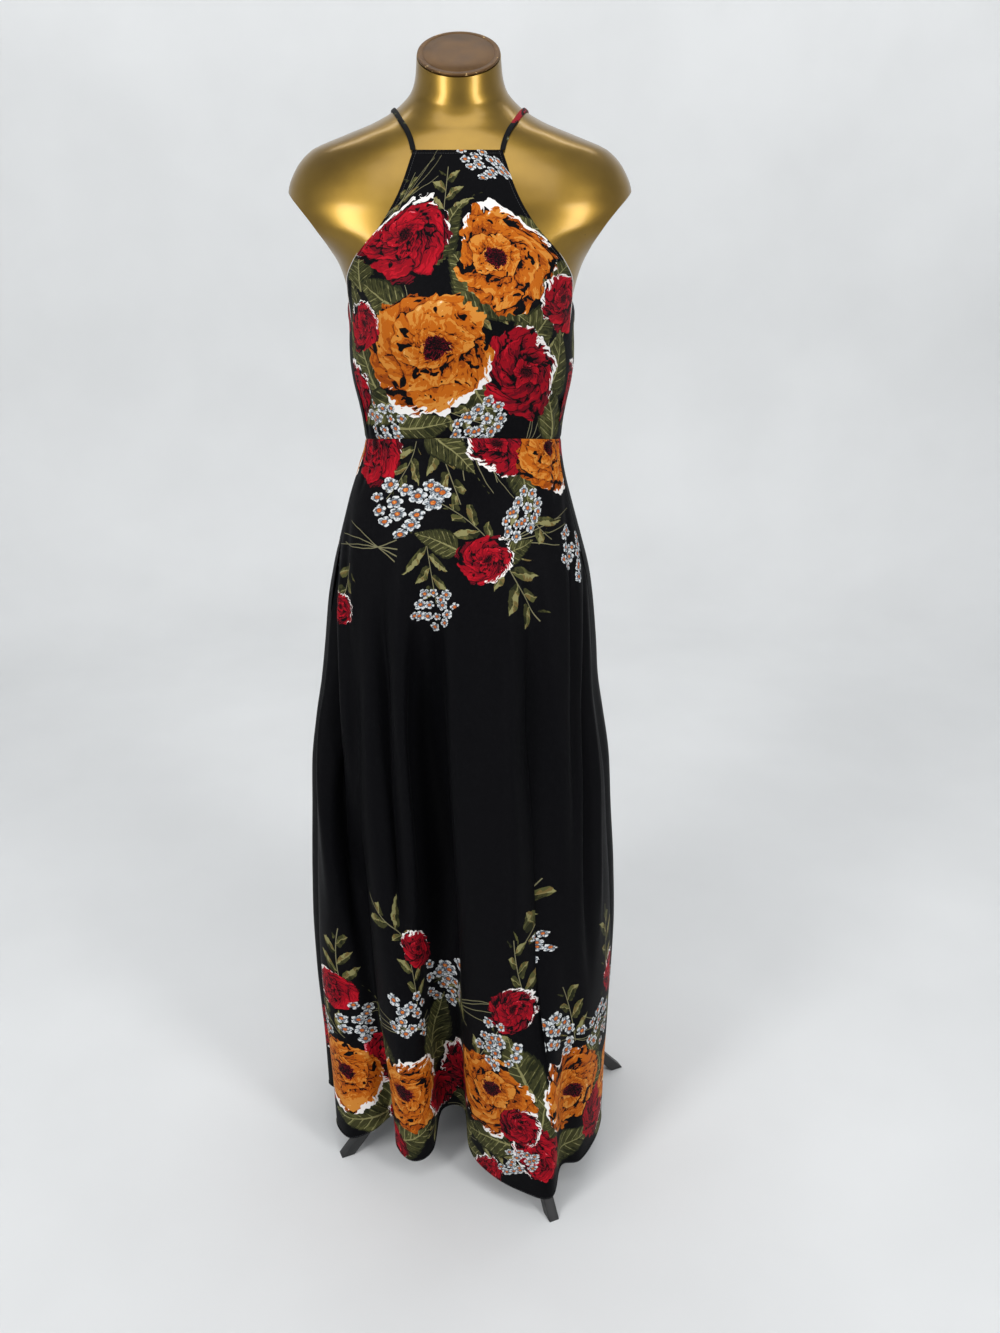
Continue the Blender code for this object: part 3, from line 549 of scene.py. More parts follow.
# Creases of each panel: from (across, up) to (across, up) on the flat cloth, bow, width,
# height out of the cloth
CREASES = {
    "skirt_front": (
        # long folds of the skirt's front
        (-0.206, -0.230, -0.264, -0.760, 0.004, 0.012, -0.0360),
        (-0.110, -0.220, -0.160, -0.780, 0.003, 0.014, -0.0290),
        (-0.080, -0.210, -0.124, -0.700, 0.002, 0.010, 0.0060),
        (-0.047, -0.230, -0.062, -0.800, -0.006, 0.018, -0.0340),
        (0.066, -0.240, 0.073, -0.780, 0.002, 0.009, 0.0070),
        (0.096, -0.240, 0.112, -0.980, 0.003, 0.018, -0.0360),
        (0.114, -0.340, 0.138, -0.900, 0.003, 0.016, -0.0200),
        (-0.226, -0.260, -0.290, -0.760, 0.004, 0.012, 0.0080),
        (0.160, -0.130, 0.176, -0.640, 0.002, 0.007, -0.0090),
        (0.196, -0.220, 0.208, -0.760, -0.003, 0.007, -0.0150),
        (0.217, -0.360, 0.232, -0.720, 0.002, 0.006, 0.0050),
        (-0.168, -0.130, -0.184, -0.460, 0.003, 0.009, -0.0060),
        (0.012, -0.220, 0.020, -0.560, 0.004, 0.020, -0.0030),
        # gathers at the waist seam, from the side seams in
        (-0.118, -0.002, -0.126, -0.058, 0.002, 0.0040, -0.0024),
        (-0.106, -0.002, -0.110, -0.042, -0.001, 0.0035, -0.0018),
        (-0.132, -0.002, -0.143, -0.070, 0.002, 0.0040, -0.0022),
        (-0.094, -0.002, -0.097, -0.030, 0.001, 0.0035, 0.0013),
        (-0.145, -0.004, -0.158, -0.050, -0.001, 0.0035, -0.0016),
        (-0.062, -0.002, -0.063, -0.024, 0.001, 0.0040, -0.0010),
        (0.055, -0.002, 0.058, -0.026, 0.001, 0.0040, -0.0010),
        (0.084, -0.002, 0.088, -0.040, -0.001, 0.0035, -0.0015),
        (0.102, -0.002, 0.109, -0.062, 0.002, 0.0040, -0.0023),
        (0.113, -0.002, 0.119, -0.044, -0.001, 0.0035, -0.0017),
        (0.125, -0.002, 0.137, -0.078, 0.002, 0.0045, -0.0024),
        (0.140, -0.004, 0.152, -0.052, 0.001, 0.0035, -0.0017),
        (-0.078, -0.020, -0.118, -0.096, 0.003, 0.0060, -0.0016),
        (0.074, -0.022, 0.120, -0.104, -0.003, 0.0060, -0.0018),
    ),
    "bodice_front": (
        # soft folds of the bodice's front
        (-0.121, 0.002, -0.129, 0.104, 0.003, 0.0055, -0.0036),
        (-0.111, 0.004, -0.112, 0.060, -0.001, 0.0040, 0.0018),
        (-0.138, 0.008, -0.150, 0.086, 0.002, 0.0045, -0.0024),
        (-0.148, 0.004, -0.160, 0.046, 0.001, 0.0035, -0.0017),
        (-0.092, 0.002, -0.084, 0.090, 0.003, 0.0060, -0.0016),
        (-0.064, 0.002, -0.060, 0.052, -0.002, 0.0060, -0.0011),
        (-0.030, 0.002, -0.028, 0.036, 0.001, 0.0060, -0.0009),
        (0.038, 0.002, 0.038, 0.040, 0.001, 0.0060, -0.0010),
        (0.072, 0.002, 0.070, 0.064, -0.002, 0.0060, -0.0014),
        (0.096, 0.002, 0.090, 0.096, -0.002, 0.0055, -0.0019),
        (0.112, 0.003, 0.124, 0.074, 0.002, 0.0045, -0.0026),
        (0.126, 0.002, 0.120, 0.050, -0.001, 0.0040, 0.0016),
        (0.134, 0.008, 0.152, 0.062, 0.002, 0.0040, -0.0023),
        (0.158, 0.040, 0.120, 0.072, 0.002, 0.0040, -0.0018),
        (0.150, 0.022, 0.118, 0.038, -0.001, 0.0035, -0.0015),
        (-0.160, 0.118, -0.120, 0.150, 0.003, 0.0060, -0.0010),
        (0.162, 0.124, 0.118, 0.152, -0.003, 0.0060, -0.0011),
        (-0.052, 0.300, -0.100, 0.232, -0.002, 0.0060, -0.0008),
        (0.054, 0.296, 0.102, 0.228, 0.002, 0.0060, -0.0009),
    ),
    "bodice_back": (
        # the back of the bodice, gathered into the waist seam
        (-0.190, 0.002, -0.176, 0.080, 0.003, 0.0050, -0.0022),
        (-0.158, 0.002, -0.152, 0.058, -0.002, 0.0050, -0.0017),
        (-0.118, 0.002, -0.108, 0.096, 0.002, 0.0055, -0.0020),
        (-0.082, 0.002, -0.080, 0.046, 0.001, 0.0050, -0.0012),
        (-0.040, 0.002, -0.042, 0.074, -0.002, 0.0055, -0.0017),
        (0.008, 0.002, 0.006, 0.050, 0.001, 0.0050, -0.0012),
        (0.046, 0.002, 0.052, 0.088, 0.002, 0.0055, -0.0018),
        (0.090, 0.002, 0.088, 0.052, -0.001, 0.0050, -0.0014),
        (0.128, 0.002, 0.118, 0.092, 0.002, 0.0055, -0.0021),
        (0.164, 0.002, 0.158, 0.054, 0.001, 0.0050, -0.0016),
        (0.196, 0.002, 0.182, 0.078, -0.003, 0.0050, -0.0022),
    ),
    "skirt_back": (
        # the back of the skirt
        (-0.150, -0.002, -0.160, -0.064, 0.002, 0.0045, -0.0022),
        (-0.120, -0.002, -0.126, -0.046, -0.001, 0.0040, -0.0016),
        (-0.078, -0.002, -0.082, -0.072, 0.002, 0.0045, -0.0020),
        (-0.036, -0.002, -0.038, -0.040, 0.001, 0.0040, -0.0013),
        (0.022, -0.002, 0.024, -0.066, -0.002, 0.0045, -0.0019),
        (0.066, -0.002, 0.070, -0.044, 0.001, 0.0040, -0.0015),
        (0.110, -0.002, 0.117, -0.074, 0.002, 0.0045, -0.0022),
        (0.152, -0.002, 0.163, -0.050, -0.001, 0.0040, -0.0018),
        (-0.210, -0.200, -0.262, -0.680, 0.005, 0.013, -0.0200),
        (-0.124, -0.220, -0.156, -0.740, -0.004, 0.015, -0.0220),
        (-0.058, -0.210, -0.066, -0.620, 0.004, 0.011, 0.0050),
        (-0.010, -0.240, -0.004, -0.800, 0.005, 0.016, -0.0230),
        (0.066, -0.220, 0.082, -0.600, -0.003, 0.011, 0.0050),
        (0.116, -0.220, 0.146, -0.760, 0.004, 0.015, -0.0210),
        (0.208, -0.190, 0.252, -0.620, -0.005, 0.012, -0.0120),
    ),
}
# How a crease starts and ends, as shares of its length, and how much it widens on its way
CREASE_START = (-0.2, 0.3)
CREASE_END = (0.6, 1.1)
CREASE_WIDENS = 0.5

# The flat cloth in its UV map: scale and start of the outside, and of the inside below it
BAKE_OUTSIDE = ((0.98, 0.63), (0.01, 0.36))
BAKE_INSIDE = ((0.98, 0.32), (0.01, 0.01))


def eased(table, at, column=1):
    """A table's column at some places, along a smooth curve that never overshoots its rows."""
    x = table[:, 0]
    y = table[:, column]
    step = np.diff(x)
    slope = np.diff(y) / step
    rate = np.zeros(len(x))
    same_way = slope[:-1] * slope[1:] > 0
    ahead = 2 * step[1:] + step[:-1]
    behind = step[1:] + 2 * step[:-1]
    safe = np.where(same_way, slope[:-1] * slope[1:], 1.0)
    inner = (ahead + behind) * safe / (ahead * slope[1:] + behind * slope[:-1] + (~same_way))
    rate[1:-1] = np.where(same_way, inner, 0.0)
    rate[0] = slope[0]
    rate[-1] = slope[-1]
    at = np.clip(at, x[0], x[-1])
    i = np.clip(np.searchsorted(x, at) - 1, 0, len(step) - 1)
    t = (at - x[i]) / step[i]
    rise = y[i] + t * step[i] * rate[i]
    cubic = 3 * (y[i + 1] - y[i]) - step[i] * (2 * rate[i] + rate[i + 1])
    last = 2 * (y[i] - y[i + 1]) + step[i] * (rate[i] + rate[i + 1])
    return rise + t**2 * cubic + t**3 * last


def smooth_step(low, high, value):
    t = np.clip((value - low) / (high - low), 0.0, 1.0)
    return t * t * (3 - 2 * t)


def oval(angle, half_width, front, back, roundness):
    """Points of a rounded oval, with 0 at the front, and the outward direction at each."""
    side = np.sin(angle)
    ahead = np.cos(angle)
    depth = np.where(ahead >= 0, front, back)
    x = half_width * np.sign(side) * np.abs(side) ** (2 / roundness)
    y = -depth * np.sign(ahead) * np.abs(ahead) ** (2 / roundness)
    out_x = np.sign(x) * np.abs(x / half_width) ** (roundness - 1) / half_width
    out_y = np.sign(y) * np.abs(y / depth) ** (roundness - 1) / depth
    length = np.hypot(out_x, out_y)
    return x, y, out_x / length, out_y / length


def bust_share(angle, z, bridged):
    """How far the bust stands out here, from 0 to 1. Cloth bridges the middle."""
    off = np.degrees(np.abs((angle + math.pi) % (2 * math.pi) - math.pi)) - BUST_DEG
    if bridged:
        off = np.maximum(off, 0.0)
    return np.exp(-((off / BUST_SPREAD_DEG) ** 2)) * np.exp(-(((z - BUST_Z) / BUST_HEIGHT) ** 2))


def around_body(angle, z, out, bridged=False):
    """Points round the body at a height, moved out by a distance."""
    half_width, front, back, roundness, tilt = (eased(BODY_SECTIONS, z, c) for c in range(1, 6))
    x, y, out_x, out_y = oval(angle, half_width, front, back, roundness)
    out = out + BUST_OUT * bust_share(angle, z, bridged)
    x = x + out * out_x
    y = y + out * out_y
    return np.stack(np.broadcast_arrays(x, y, z + tilt * y), axis=-1)


def waist_z(angle):
    """The waist seam's height, which rises a little at the front."""
    return WAIST_Z + WAIST_RISE * np.maximum(np.cos(angle), 0.0) ** WAIST_RISE_SHARPNESS


# Grids of cloth


def armhole_angle(z):
    """The angle of the front panel's edge: the side seam, and above it the armhole."""
    half_width = eased(BODY_SECTIONS, z, 1)
    roundness = eased(BODY_SECTIONS, z, 4)
    above = np.arcsin(np.clip(eased(ARMHOLE_EDGE, z) / half_width, 0, 1) ** (roundness / 2))
    return np.where(z <= SIDE_SEAM_TOP_Z, SIDE_SEAM, above)


def stations(count, length):
    """Places from 0 to 1, evenly spaced, and closer together near each end."""
    fine = np.array(EDGE_STEPS) / length
    middle = np.linspace(0.0, 1.0, count)
    middle = middle[(middle > fine[-1]) & (middle < 1 - fine[-1])]
    return np.concatenate([fine, middle, (1 - fine)[::-1]])


def unit(vectors):
    """Vectors of length 1."""
    return vectors / np.linalg.norm(vectors, axis=-1, keepdims=True)


def normals(grid):
    """The outward direction at each point of a grid."""
    return unit(np.cross(np.gradient(grid, axis=1), np.gradient(grid, axis=0)))


def bodice_middle(angle, z):
    return around_body(angle, z, eased(BODICE_EASE, z) + WALL / 2, bridged=True)


def bodice_front_grid():
    level = WAIST_Z + stations(BODICE_ROWS, NECKLINE_Z - WAIST_Z)[:, None] * (NECKLINE_Z - WAIST_Z)
    across = 2 * stations(BODICE_COLUMNS, 2 * FRONT_HALF_WIDTH)[None, :] - 1
    seam_trim = SEAM_GAP / 2 / eased(BODY_SECTIONS, level, 1)
    angle = across * (armhole_angle(level) - seam_trim)
    low = waist_z(angle) + SEAM_GAP / 2
    up = (level - WAIST_Z) / (SIDE_SEAM_TOP_Z - WAIST_Z)
    z = np.where(up < 1.0, low + up * (SIDE_SEAM_TOP_Z - low), level)
    return bodice_middle(angle, z)


def bodice_back_grid():
    up = stations(BACK_ROWS, BACK_HEIGHT)[:, None]
    seam = SIDE_SEAM + SEAM_GAP / 2 / eased(BODY_SECTIONS, WAIST_Z, 1)
    share = stations(BACK_COLUMNS, BACK_WIDTH)[None, :]
    angle = seam + share * 2 * (math.pi - seam)
    from_front = np.degrees(np.minimum(angle, 2 * math.pi - angle))
    low = waist_z(angle) + SEAM_GAP / 2
    z = low + up * (eased(BACK_EDGE, from_front) - low)
    return bodice_middle(angle, z)


def hem_curve():
    """The hem as a closed smooth curve: its knots and, between them, x, front, height, angle."""
    knots = np.array([row[1:] for row in HEM_FOLDS], dtype=float)
    around = np.array((0.0, 0.0, 0.0, 360.0))
    padded = np.concatenate([knots[-1:] - around, knots, knots[:2] + around])
    t = np.linspace(0.0, 1.0, SPLINE_STEPS, endpoint=False)[:, None]
    spans = []
    for before, here, there, after in zip(padded, padded[1:], padded[2:], padded[3:]):
        bend = 2 * before - 5 * here + 4 * there - after
        last = 3 * here - before - 3 * there + after
        spans.append(0.5 * (2 * here + (there - before) * t + bend * t**2 + last * t**3))
    return np.concatenate(spans)


def hem_columns(first_fold, last_fold):
    """Columns along the hem, from one seam's fold to the other's: x, front, height, angle."""
    curve = hem_curve()
    if last_fold < first_fold:
        curve = np.concatenate([curve, curve + np.array((0.0, 0.0, 0.0, 360.0))])
        last_fold += len(HEM_FOLDS)
    curve = curve[first_fold * SPLINE_STEPS: last_fold * SPLINE_STEPS + 1]
    steps = np.hypot(*np.diff(curve[:, :2], axis=0).T)
    along = np.concatenate([[0.0], np.cumsum(steps)])
    places = np.linspace(SEAM_GAP / 2, along[-1] - SEAM_GAP / 2, SKIRT_COLUMNS)
    return [np.interp(places, along, curve[:, c]) for c in range(4)]


def skirt_oval(angle, z):
    half_width, front, back, shift = (eased(SKIRT_SECTIONS, z, c) for c in range(1, 5))
    x, y, _, _ = oval(angle, half_width, front, back, SKIRT_ROUNDNESS)
    return x + shift, y


def skirt_grid(first_fold, last_fold):
    """The middle of a skirt panel's wall, rows from the hem up, and each column's angle."""
    hem_x, hem_front, hem_z, hem_angle = hem_columns(first_fold, last_fold)
    angle = np.radians(hem_angle)
    top_z = waist_z(angle) - SEAM_GAP / 2
    top = around_body(angle, top_z, eased(BODICE_EASE, top_z), bridged=True)
    share = stations(SKIRT_ROWS, SKIRT_FALL)[::-1, None]
    z = top_z + share * (hem_z - top_z)
    drop = share * FLUTE_GROWTH[-1, 0]
    flute = eased(FLUTE_GROWTH, drop)
    near_waist = 1 - smooth_step(0.0, WAIST_BLEND, drop)
    x, y = skirt_oval(angle, z)
    top_x, top_y = skirt_oval(angle, top_z)
    low_x, low_y = skirt_oval(angle, hem_z)
    x = x + flute * (hem_x - low_x) + near_waist * (top[:, 0] - top_x)
    y = y + flute * (-hem_front - low_y) + near_waist * (top[:, 1] - top_y)
    inner = np.stack([x, y, z], axis=-1)
    return inner + normals(inner) * WALL / 2, hem_angle


def flat_places(grid, centre, seam_row):
    """Each point's place on the flat cloth: across from the centre column, up from the waist seam."""
    across = np.linalg.norm(np.diff(grid, axis=1), axis=-1)
    u = np.concatenate([np.zeros((len(grid), 1)), np.cumsum(across, axis=1)], axis=1)
    column = int(centre)
    part = centre - column
    u -= u[:, column: column + 1] * (1 - part) + u[:, column + 1: column + 2] * part
    up = np.linalg.norm(np.diff(grid, axis=0), axis=-1)
    w = np.concatenate([np.zeros((1, grid.shape[1])), np.cumsum(up, axis=0)])
    return u, w - w[seam_row]


def creased(grid, u, w, creases):
    """The grid with soft troughs and ridges pushed into it, and a dip along the waist seam."""
    push = -SEAM_DIP * np.exp(-((w / SEAM_DIP_WIDTH) ** 2))
    for u0, w0, u1, w1, bow, width, height in creases:
        run = u1 - u0
        rise = w1 - w0
        length = math.hypot(run, rise)
        share = ((u - u0) * run + (w - w0) * rise) / length**2
        held = np.clip(share, 0.0, 1.0)
        off = ((w - w0) * run - (u - u0) * rise) / length - bow * 4 * held * (1 - held)
        fade = smooth_step(*CREASE_START, share) * (1 - smooth_step(*CREASE_END, share))
        spread = width * (1 + CREASE_WIDENS * held)
        push = push + height * fade * np.exp(-((off / spread) ** 2))
    return grid + normals(grid) * push[..., None]


# Meshes


def grid_quads(rows, columns, first, flip=False, closed=False):
    """Quads over a grid of points that starts at index first."""
    row = np.arange(rows - 1)[:, None] * columns
    column = np.arange(columns if closed else columns - 1)[None, :]
    side = (column + 1) % columns
    quads = np.stack([row + column, row + side, row + side + columns, row + column + columns], axis=-1)
    quads = quads.reshape(-1, 4) + first
    return quads[:, ::-1] if flip else quads


def rim_of(rows, columns):
    """The indices round the outside of a grid, in order."""
    bottom = np.arange(columns)
    right = np.arange(1, rows) * columns + columns - 1
    top = (rows - 1) * columns + np.arange(columns - 2, -1, -1)
    left = np.arange(rows - 2, 0, -1) * columns
    return np.concatenate([bottom, right, top, left])


def rings_faces(count, columns):
    """Quads between closed rings of points, and a face over each end."""
    faces = [tuple(quad) for quad in grid_quads(count, columns, 0, closed=True)]
    faces.append(tuple(range(columns))[::-1])
    faces.append(tuple((count - 1) * columns + c for c in range(columns)))
    return faces


def add_object(mesh, looks, sharp=None):
    """Gives a mesh its looks and smooth shading, and puts it into the scene under its name."""
    for look in looks:
        mesh.materials.append(look)
    mesh.shade_smooth()
    if sharp:
        mesh.set_sharp_from_angle(angle=sharp)
    obj = bpy.data.objects.new(mesh.name, mesh)
    bpy.context.scene.collection.objects.link(obj)
    return obj


def add_mesh(name, points, faces, looks, sharp=None):
    mesh = bpy.data.meshes.new(name)
    mesh.from_pydata(points.tolist(), [], [tuple(face) for face in faces])
    return add_object(mesh, looks, sharp)


def add_rings(name, rings, look, sharp=None):
    """A closed piece through rings of points, in the frame."""
    points = moved_to_frame(rings.reshape(-1, 3))
    return add_mesh(name, points, rings_faces(*rings.shape[:2]), [look], sharp)


def moved_to_frame(points):
    return points + np.array(SHIFT)


def point_out(mesh):
    """Turns every face of a mesh outward."""
    bm = bmesh.new()
    bm.from_mesh(mesh)
    bmesh.ops.recalc_face_normals(bm, faces=bm.faces)
    bm.to_mesh(mesh)
    bm.free()


def whole_turn(columns):
    """The angles of this many columns round a ring."""
    return np.linspace(0, 2 * math.pi, columns, endpoint=False)


def declare(obj, slot, *nodes):
    """Puts a piece on the root body and hides the solids that it stands for. The material slot is not
    used.
    """
    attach(obj, "root")
    if nodes:
        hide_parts(*nodes)


def add_sheet(panel, middle, u, w, thickness, pale_above):
    """A thin closed sheet round a grid of points: faces outside, then inside, then round the rim.

    The rim is pale above a height on the flat cloth: partly the cloth's unprinted side, and partly a
    painted highlight along the edge.
    """
    rows, columns = u.shape
    count = rows * columns
    half = normals(middle) * thickness[..., None] / 2
    points = np.concatenate([(middle + half).reshape(-1, 3), (middle - half).reshape(-1, 3)])
    outside = grid_quads(rows, columns, 0)
    inside = grid_quads(rows, columns, count, flip=True)
    here = rim_of(rows, columns)
    there = np.roll(here, -1)
    rim = np.stack([there, here, here + count, there + count], axis=-1)
    faces = np.concatenate([outside, inside, rim])
    # the second look is the pale rim: partly the cloth's back, partly a painted highlight
    looks = [cloth_look("rim"), cloth_look("pale_rim")]
    obj = add_mesh(panel + "_cloth", moved_to_frame(points), faces, looks)
    flat = np.tile(np.stack([u.ravel(), w.ravel()], axis=-1), (2, 1))
    add_bake_map(obj.data, flat, count, faces)
    printed = add_print(obj.data, panel, flat, faces)
    look_of = np.zeros(len(faces), np.int32)
    look_of[-len(rim):] = flat[rim, 1].mean(axis=1) > pale_above
    for side, first in (("outside", 0), ("inside", len(outside))):
        side_faces = slice(first, first + len(outside))
        for meeting in np.unique(printed[side_faces], axis=0):
            layers = [layer for layer, meets in zip(MOTIFS, meeting) if meets]
            alike = (printed[side_faces] == meeting).all(axis=1)
            look_of[side_faces][alike] = len(obj.data.materials)
            obj.data.materials.append(cloth_look(side, layers))
    obj.data.polygons.foreach_set("material_index", look_of)
    return obj


def add_bake_map(mesh, flat, count, faces):
    """The flat cloth as a UV map: the outside above, the inside below it."""
    low = flat.min(axis=0)
    placed = (flat - low) / (flat.max(axis=0) - low)
    for side, (scale, start) in ((slice(count), BAKE_OUTSIDE), (slice(count, None), BAKE_INSIDE)):
        placed[side] = placed[side] * scale + start
    uv = mesh.uv_layers.new(name="OFBake")
    uv.data.foreach_set("uv", placed[faces.ravel()].ravel().astype(np.float32))


def motifs_on(panel, layer):
    """The motifs of a layer on a panel, which on a back panel are the front's, spread wider."""
    front, spread = BACK_SPREAD.get(panel, (panel, 1.0))
    return [(u * spread, w, *rest) for u, w, *rest in PRINT[front].get(layer, ())]


def in_motif(flat, u, w, half_width, half_height, turn_deg):
    """Places on the flat cloth as places in a motif's own square, from -1 to 1."""
    turn = math.radians(turn_deg)
    c, s = math.cos(turn), math.sin(turn)
    off = flat - (u, w)
    x = (off[..., 0] * c + off[..., 1] * s) / half_width
    y = (off[..., 1] * c - off[..., 0] * s) / half_height
    return x, y


def add_print(mesh, panel, flat, faces):
    """Each face's place in the motif that covers it, and that motif's seed. Says which layers meet."""
    corners = flat[faces]
    middle = corners.mean(axis=1)
    printed = np.zeros((len(faces), len(MOTIFS)), bool)
    for column, layer in enumerate(MOTIFS):
        local = np.full((len(faces), 4, 3), UNPRINTED)
        nearest = np.full(len(faces), 1.0)
        for number, motif in enumerate(motifs_on(panel, layer)):
            reach = MOTIF_REACH + FACE_REACH / min(motif[2:4])
            far = np.hypot(*in_motif(middle, *motif))
            inside = (far < reach) & (far / reach < nearest)
            nearest[inside] = far[inside] / reach
            x, y = in_motif(corners[inside], *motif)
            local[inside] = np.stack([x, y, np.full_like(x, number * SEED_STEP)], axis=-1)
            printed[inside, column] = True
        attribute = mesh.attributes.new("print_" + layer, "FLOAT_VECTOR", "CORNER")
        attribute.data.foreach_set("vector", local.ravel().astype(np.float32))
    return printed


# Formulas in node trees


class Wire:
    """A number or a vector in a node tree, so that a formula reads as one."""

    def __init__(self, socket):
        self.socket = socket

    def __add__(self, other):
        return maths("ADD", self, other)

    def __radd__(self, other):
        return maths("ADD", other, self)

    def __sub__(self, other):
        return maths("SUBTRACT", self, other)

    def __rsub__(self, other):
        return maths("SUBTRACT", other, self)

    def __mul__(self, other):
        return maths("MULTIPLY", self, other)

    def __rmul__(self, other):
        return maths("MULTIPLY", other, self)

    def __truediv__(self, other):
        return maths("DIVIDE", self, other)

    def __pow__(self, other):
        return maths("POWER", self, other)


def feed(target, value):
    """Sets a socket, or links it to a wire."""
    if isinstance(value, Wire):
        target.id_data.links.new(value.socket, target)
    else:
        target.default_value = value


def tree_of(*values):
    """The node tree of the first wire among these values."""
    return next(value for value in values if isinstance(value, Wire)).socket.id_data


def node_of(kind, *values, **settings):
    """A node with these first inputs, in the tree of the first wire among them."""
    node = tree_of(*values).nodes.new(kind)
    for name, setting in settings.items():
        setattr(node, name, setting)
    for target, value in zip(node.inputs, values):
        feed(target, value)
    return node


def maths(kind, *values):
    return Wire(node_of("ShaderNodeMath", *values, operation=kind).outputs[0])


root = partial(maths, "SQRT")
sine = partial(maths, "SINE")
cosine = partial(maths, "COSINE")
size_of = partial(maths, "ABSOLUTE")
part_of = partial(maths, "FRACT")
whole_of = partial(maths, "FLOOR")
below = partial(maths, "LESS_THAN")
above = partial(maths, "GREATER_THAN")
most = partial(maths, "MAXIMUM")


def length_of(x, y):
    return root(x * x + y * y)


def rising(value, low, high, bottom=0.0, top=1.0):
    """A smooth step up, or down, as the value goes from low to high."""
    given = (value, low, high, bottom, top)
    return Wire(node_of("ShaderNodeMapRange", *given, interpolation_type="SMOOTHSTEP").outputs[0])


def together(x, y, z=0.0):
    return Wire(node_of("ShaderNodeCombineXYZ", x, y, z).outputs[0])


def apart(vector):
    return [Wire(output) for output in node_of("ShaderNodeSeparateXYZ", vector).outputs]


def noise(vector, scale, detail=2.0, roughness=0.5, output="Fac"):
    node = node_of("ShaderNodeTexNoise", vector)
    for name, value in (("Scale", scale), ("Detail", detail), ("Roughness", roughness)):
        node.inputs[name].default_value = value
    return Wire(node.outputs[output])


def cells(vector, scale, randomness=1.0, **settings):
    """A Voronoi texture: the distance and, where it has them, each cell's colour and middle."""
    node = node_of("ShaderNodeTexVoronoi", vector, **settings)
    node.inputs["Scale"].default_value = scale
    node.inputs["Randomness"].default_value = randomness
    return [Wire(output) for output in node.outputs if output.enabled and output.name != "W"]


def rgb(red, green, blue):
    """A colour as painted, 0 to 255, in the linear values that a shader takes."""
    shares = [c / 255 for c in (red, green, blue)]
    return tuple(s / 12.92 if s <= 0.04045 else ((s + 0.055) / 1.055) ** 2.4 for s in shares) + (1.0,)


def tones(value, stops, between="LINEAR"):
    """Colours that follow a value, each from its place on."""
    node = node_of("ShaderNodeValToRGB", value)
    ramp = node.color_ramp
    ramp.interpolation = between
    while len(ramp.elements) < len(stops):
        ramp.elements.new(1.0)
    for element, (place, colour) in zip(ramp.elements, stops):
        element.position = place
        element.color = colour
    return Wire(node.outputs[0])


def flat_tones(value, stops):
    """Flat tones that follow a value, which counts as 0 where it is less."""
    return tones(most(value, 0.0), stops, "CONSTANT")


def painted(under, cover, over):
    """One colour over another where the cover is 1."""
    node = tree_of(under, cover, over).nodes.new("ShaderNodeMix")
    node.data_type = "RGBA"
    feed(node.inputs["Factor"], cover)
    feed(node.inputs[6], under)
    feed(node.inputs[7], over)
    return Wire(node.outputs[2])


# The print's colours

INK_BLACK = rgb(5, 5, 7)
WINE = rgb(94, 8, 22)
CRIMSON = rgb(138, 10, 25)
SCARLET = rgb(172, 17, 33)
ROSE_PINK = rgb(224, 120, 130)
RUST = rgb(142, 64, 10)
OCHRE = rgb(175, 91, 18)
AMBER = rgb(194, 125, 49)
APRICOT = rgb(214, 160, 92)
CREAM = rgb(233, 212, 180)
OFF_WHITE = rgb(226, 222, 218)
LEAF_DARK = rgb(34, 36, 20)
LEAF_OLIVE = rgb(55, 55, 31)
LEAF_MID = rgb(77, 77, 43)
LEAF_LIGHT = rgb(128, 124, 82)
SPRIG_BROWN = rgb(104, 88, 50)
GRASS_INK = rgb(116, 112, 84)
PETAL_SHADE = rgb(70, 74, 80)
PETAL_GREY = rgb(128, 136, 142)
PETAL_PALE = rgb(206, 208, 208)
DAISY_HEART = rgb(176, 88, 36)
HEART_LIGHT = rgb(214, 140, 70)

PEONY_TONES = (
    (0.0, INK_BLACK), (0.07, RUST), (0.26, OCHRE), (0.55, AMBER), (0.86, APRICOT), (1.0, CREAM),
)
ROSE_TONES = (
    (0.0, INK_BLACK), (0.10, WINE), (0.34, CRIMSON), (0.64, SCARLET), (0.97, ROSE_PINK),
    (1.0, ROSE_PINK),
)
LEAF_TONES = ((0.0, LEAF_DARK), (0.30, LEAF_OLIVE), (0.58, LEAF_MID), (0.84, LEAF_LIGHT))
SPRIG_TONES = (
    (0.0, LEAF_DARK), (0.26, LEAF_OLIVE), (0.52, LEAF_MID), (0.74, SPRIG_BROWN), (0.88, LEAF_LIGHT),
)
DAISY_TONES = ((0.0, PETAL_SHADE), (0.34, PETAL_GREY), (0.56, PETAL_PALE))

# Each bloom: tones, middle and size of its eye, swirl, petals from the eye out, how dark the
# creases and blots are, the side with the white rim
PEONY = (PEONY_TONES, (0.14, 0.12, 0.17), 1.1, 2.9, (0.20, 1.30), (0.1, -1.0))
ROSE = (ROSE_TONES, (0.05, 0.10, 0.13), 2.2, 2.2, (0.42, 0.50), (0.5, 0.9))
ROSE_OVER = (ROSE_TONES, (0.06, 0.0, 0.13), 2.6, 2.0, (0.42, 0.50), (0.9, -0.4))
# How far a bloom's outline wanders, and the least distance that is divided by
BLOOM_SHOVE = 0.42
TINY = 0.001

# A leaf: its half length, where it starts, how its veins slant and how many there are
LEAF_HALF = 0.96
LEAF_START = -0.95
VEIN_SLANT = 0.55
VEINS = 4.0

# Daisies: how many fit across a motif's half width, where each motif lies in the endless field
# of them, how far from its middle they are kept, and half of their number of petals
DAISY_SCALE = 2.5
DAISY_FIELD = (31.0, 17.0)
DAISY_REACH = 2.15
DAISY_UNEVENNESS = 0.86
HALF_PETALS = 2.5

# A sprig: how its leaves slant, how many pairs there are on its half length, where they start and end
SPRIG_SLANT = 0.60
SPRIG_PAIRS = 1.75
SPRIG_START = -0.85
SPRIG_END = 0.62

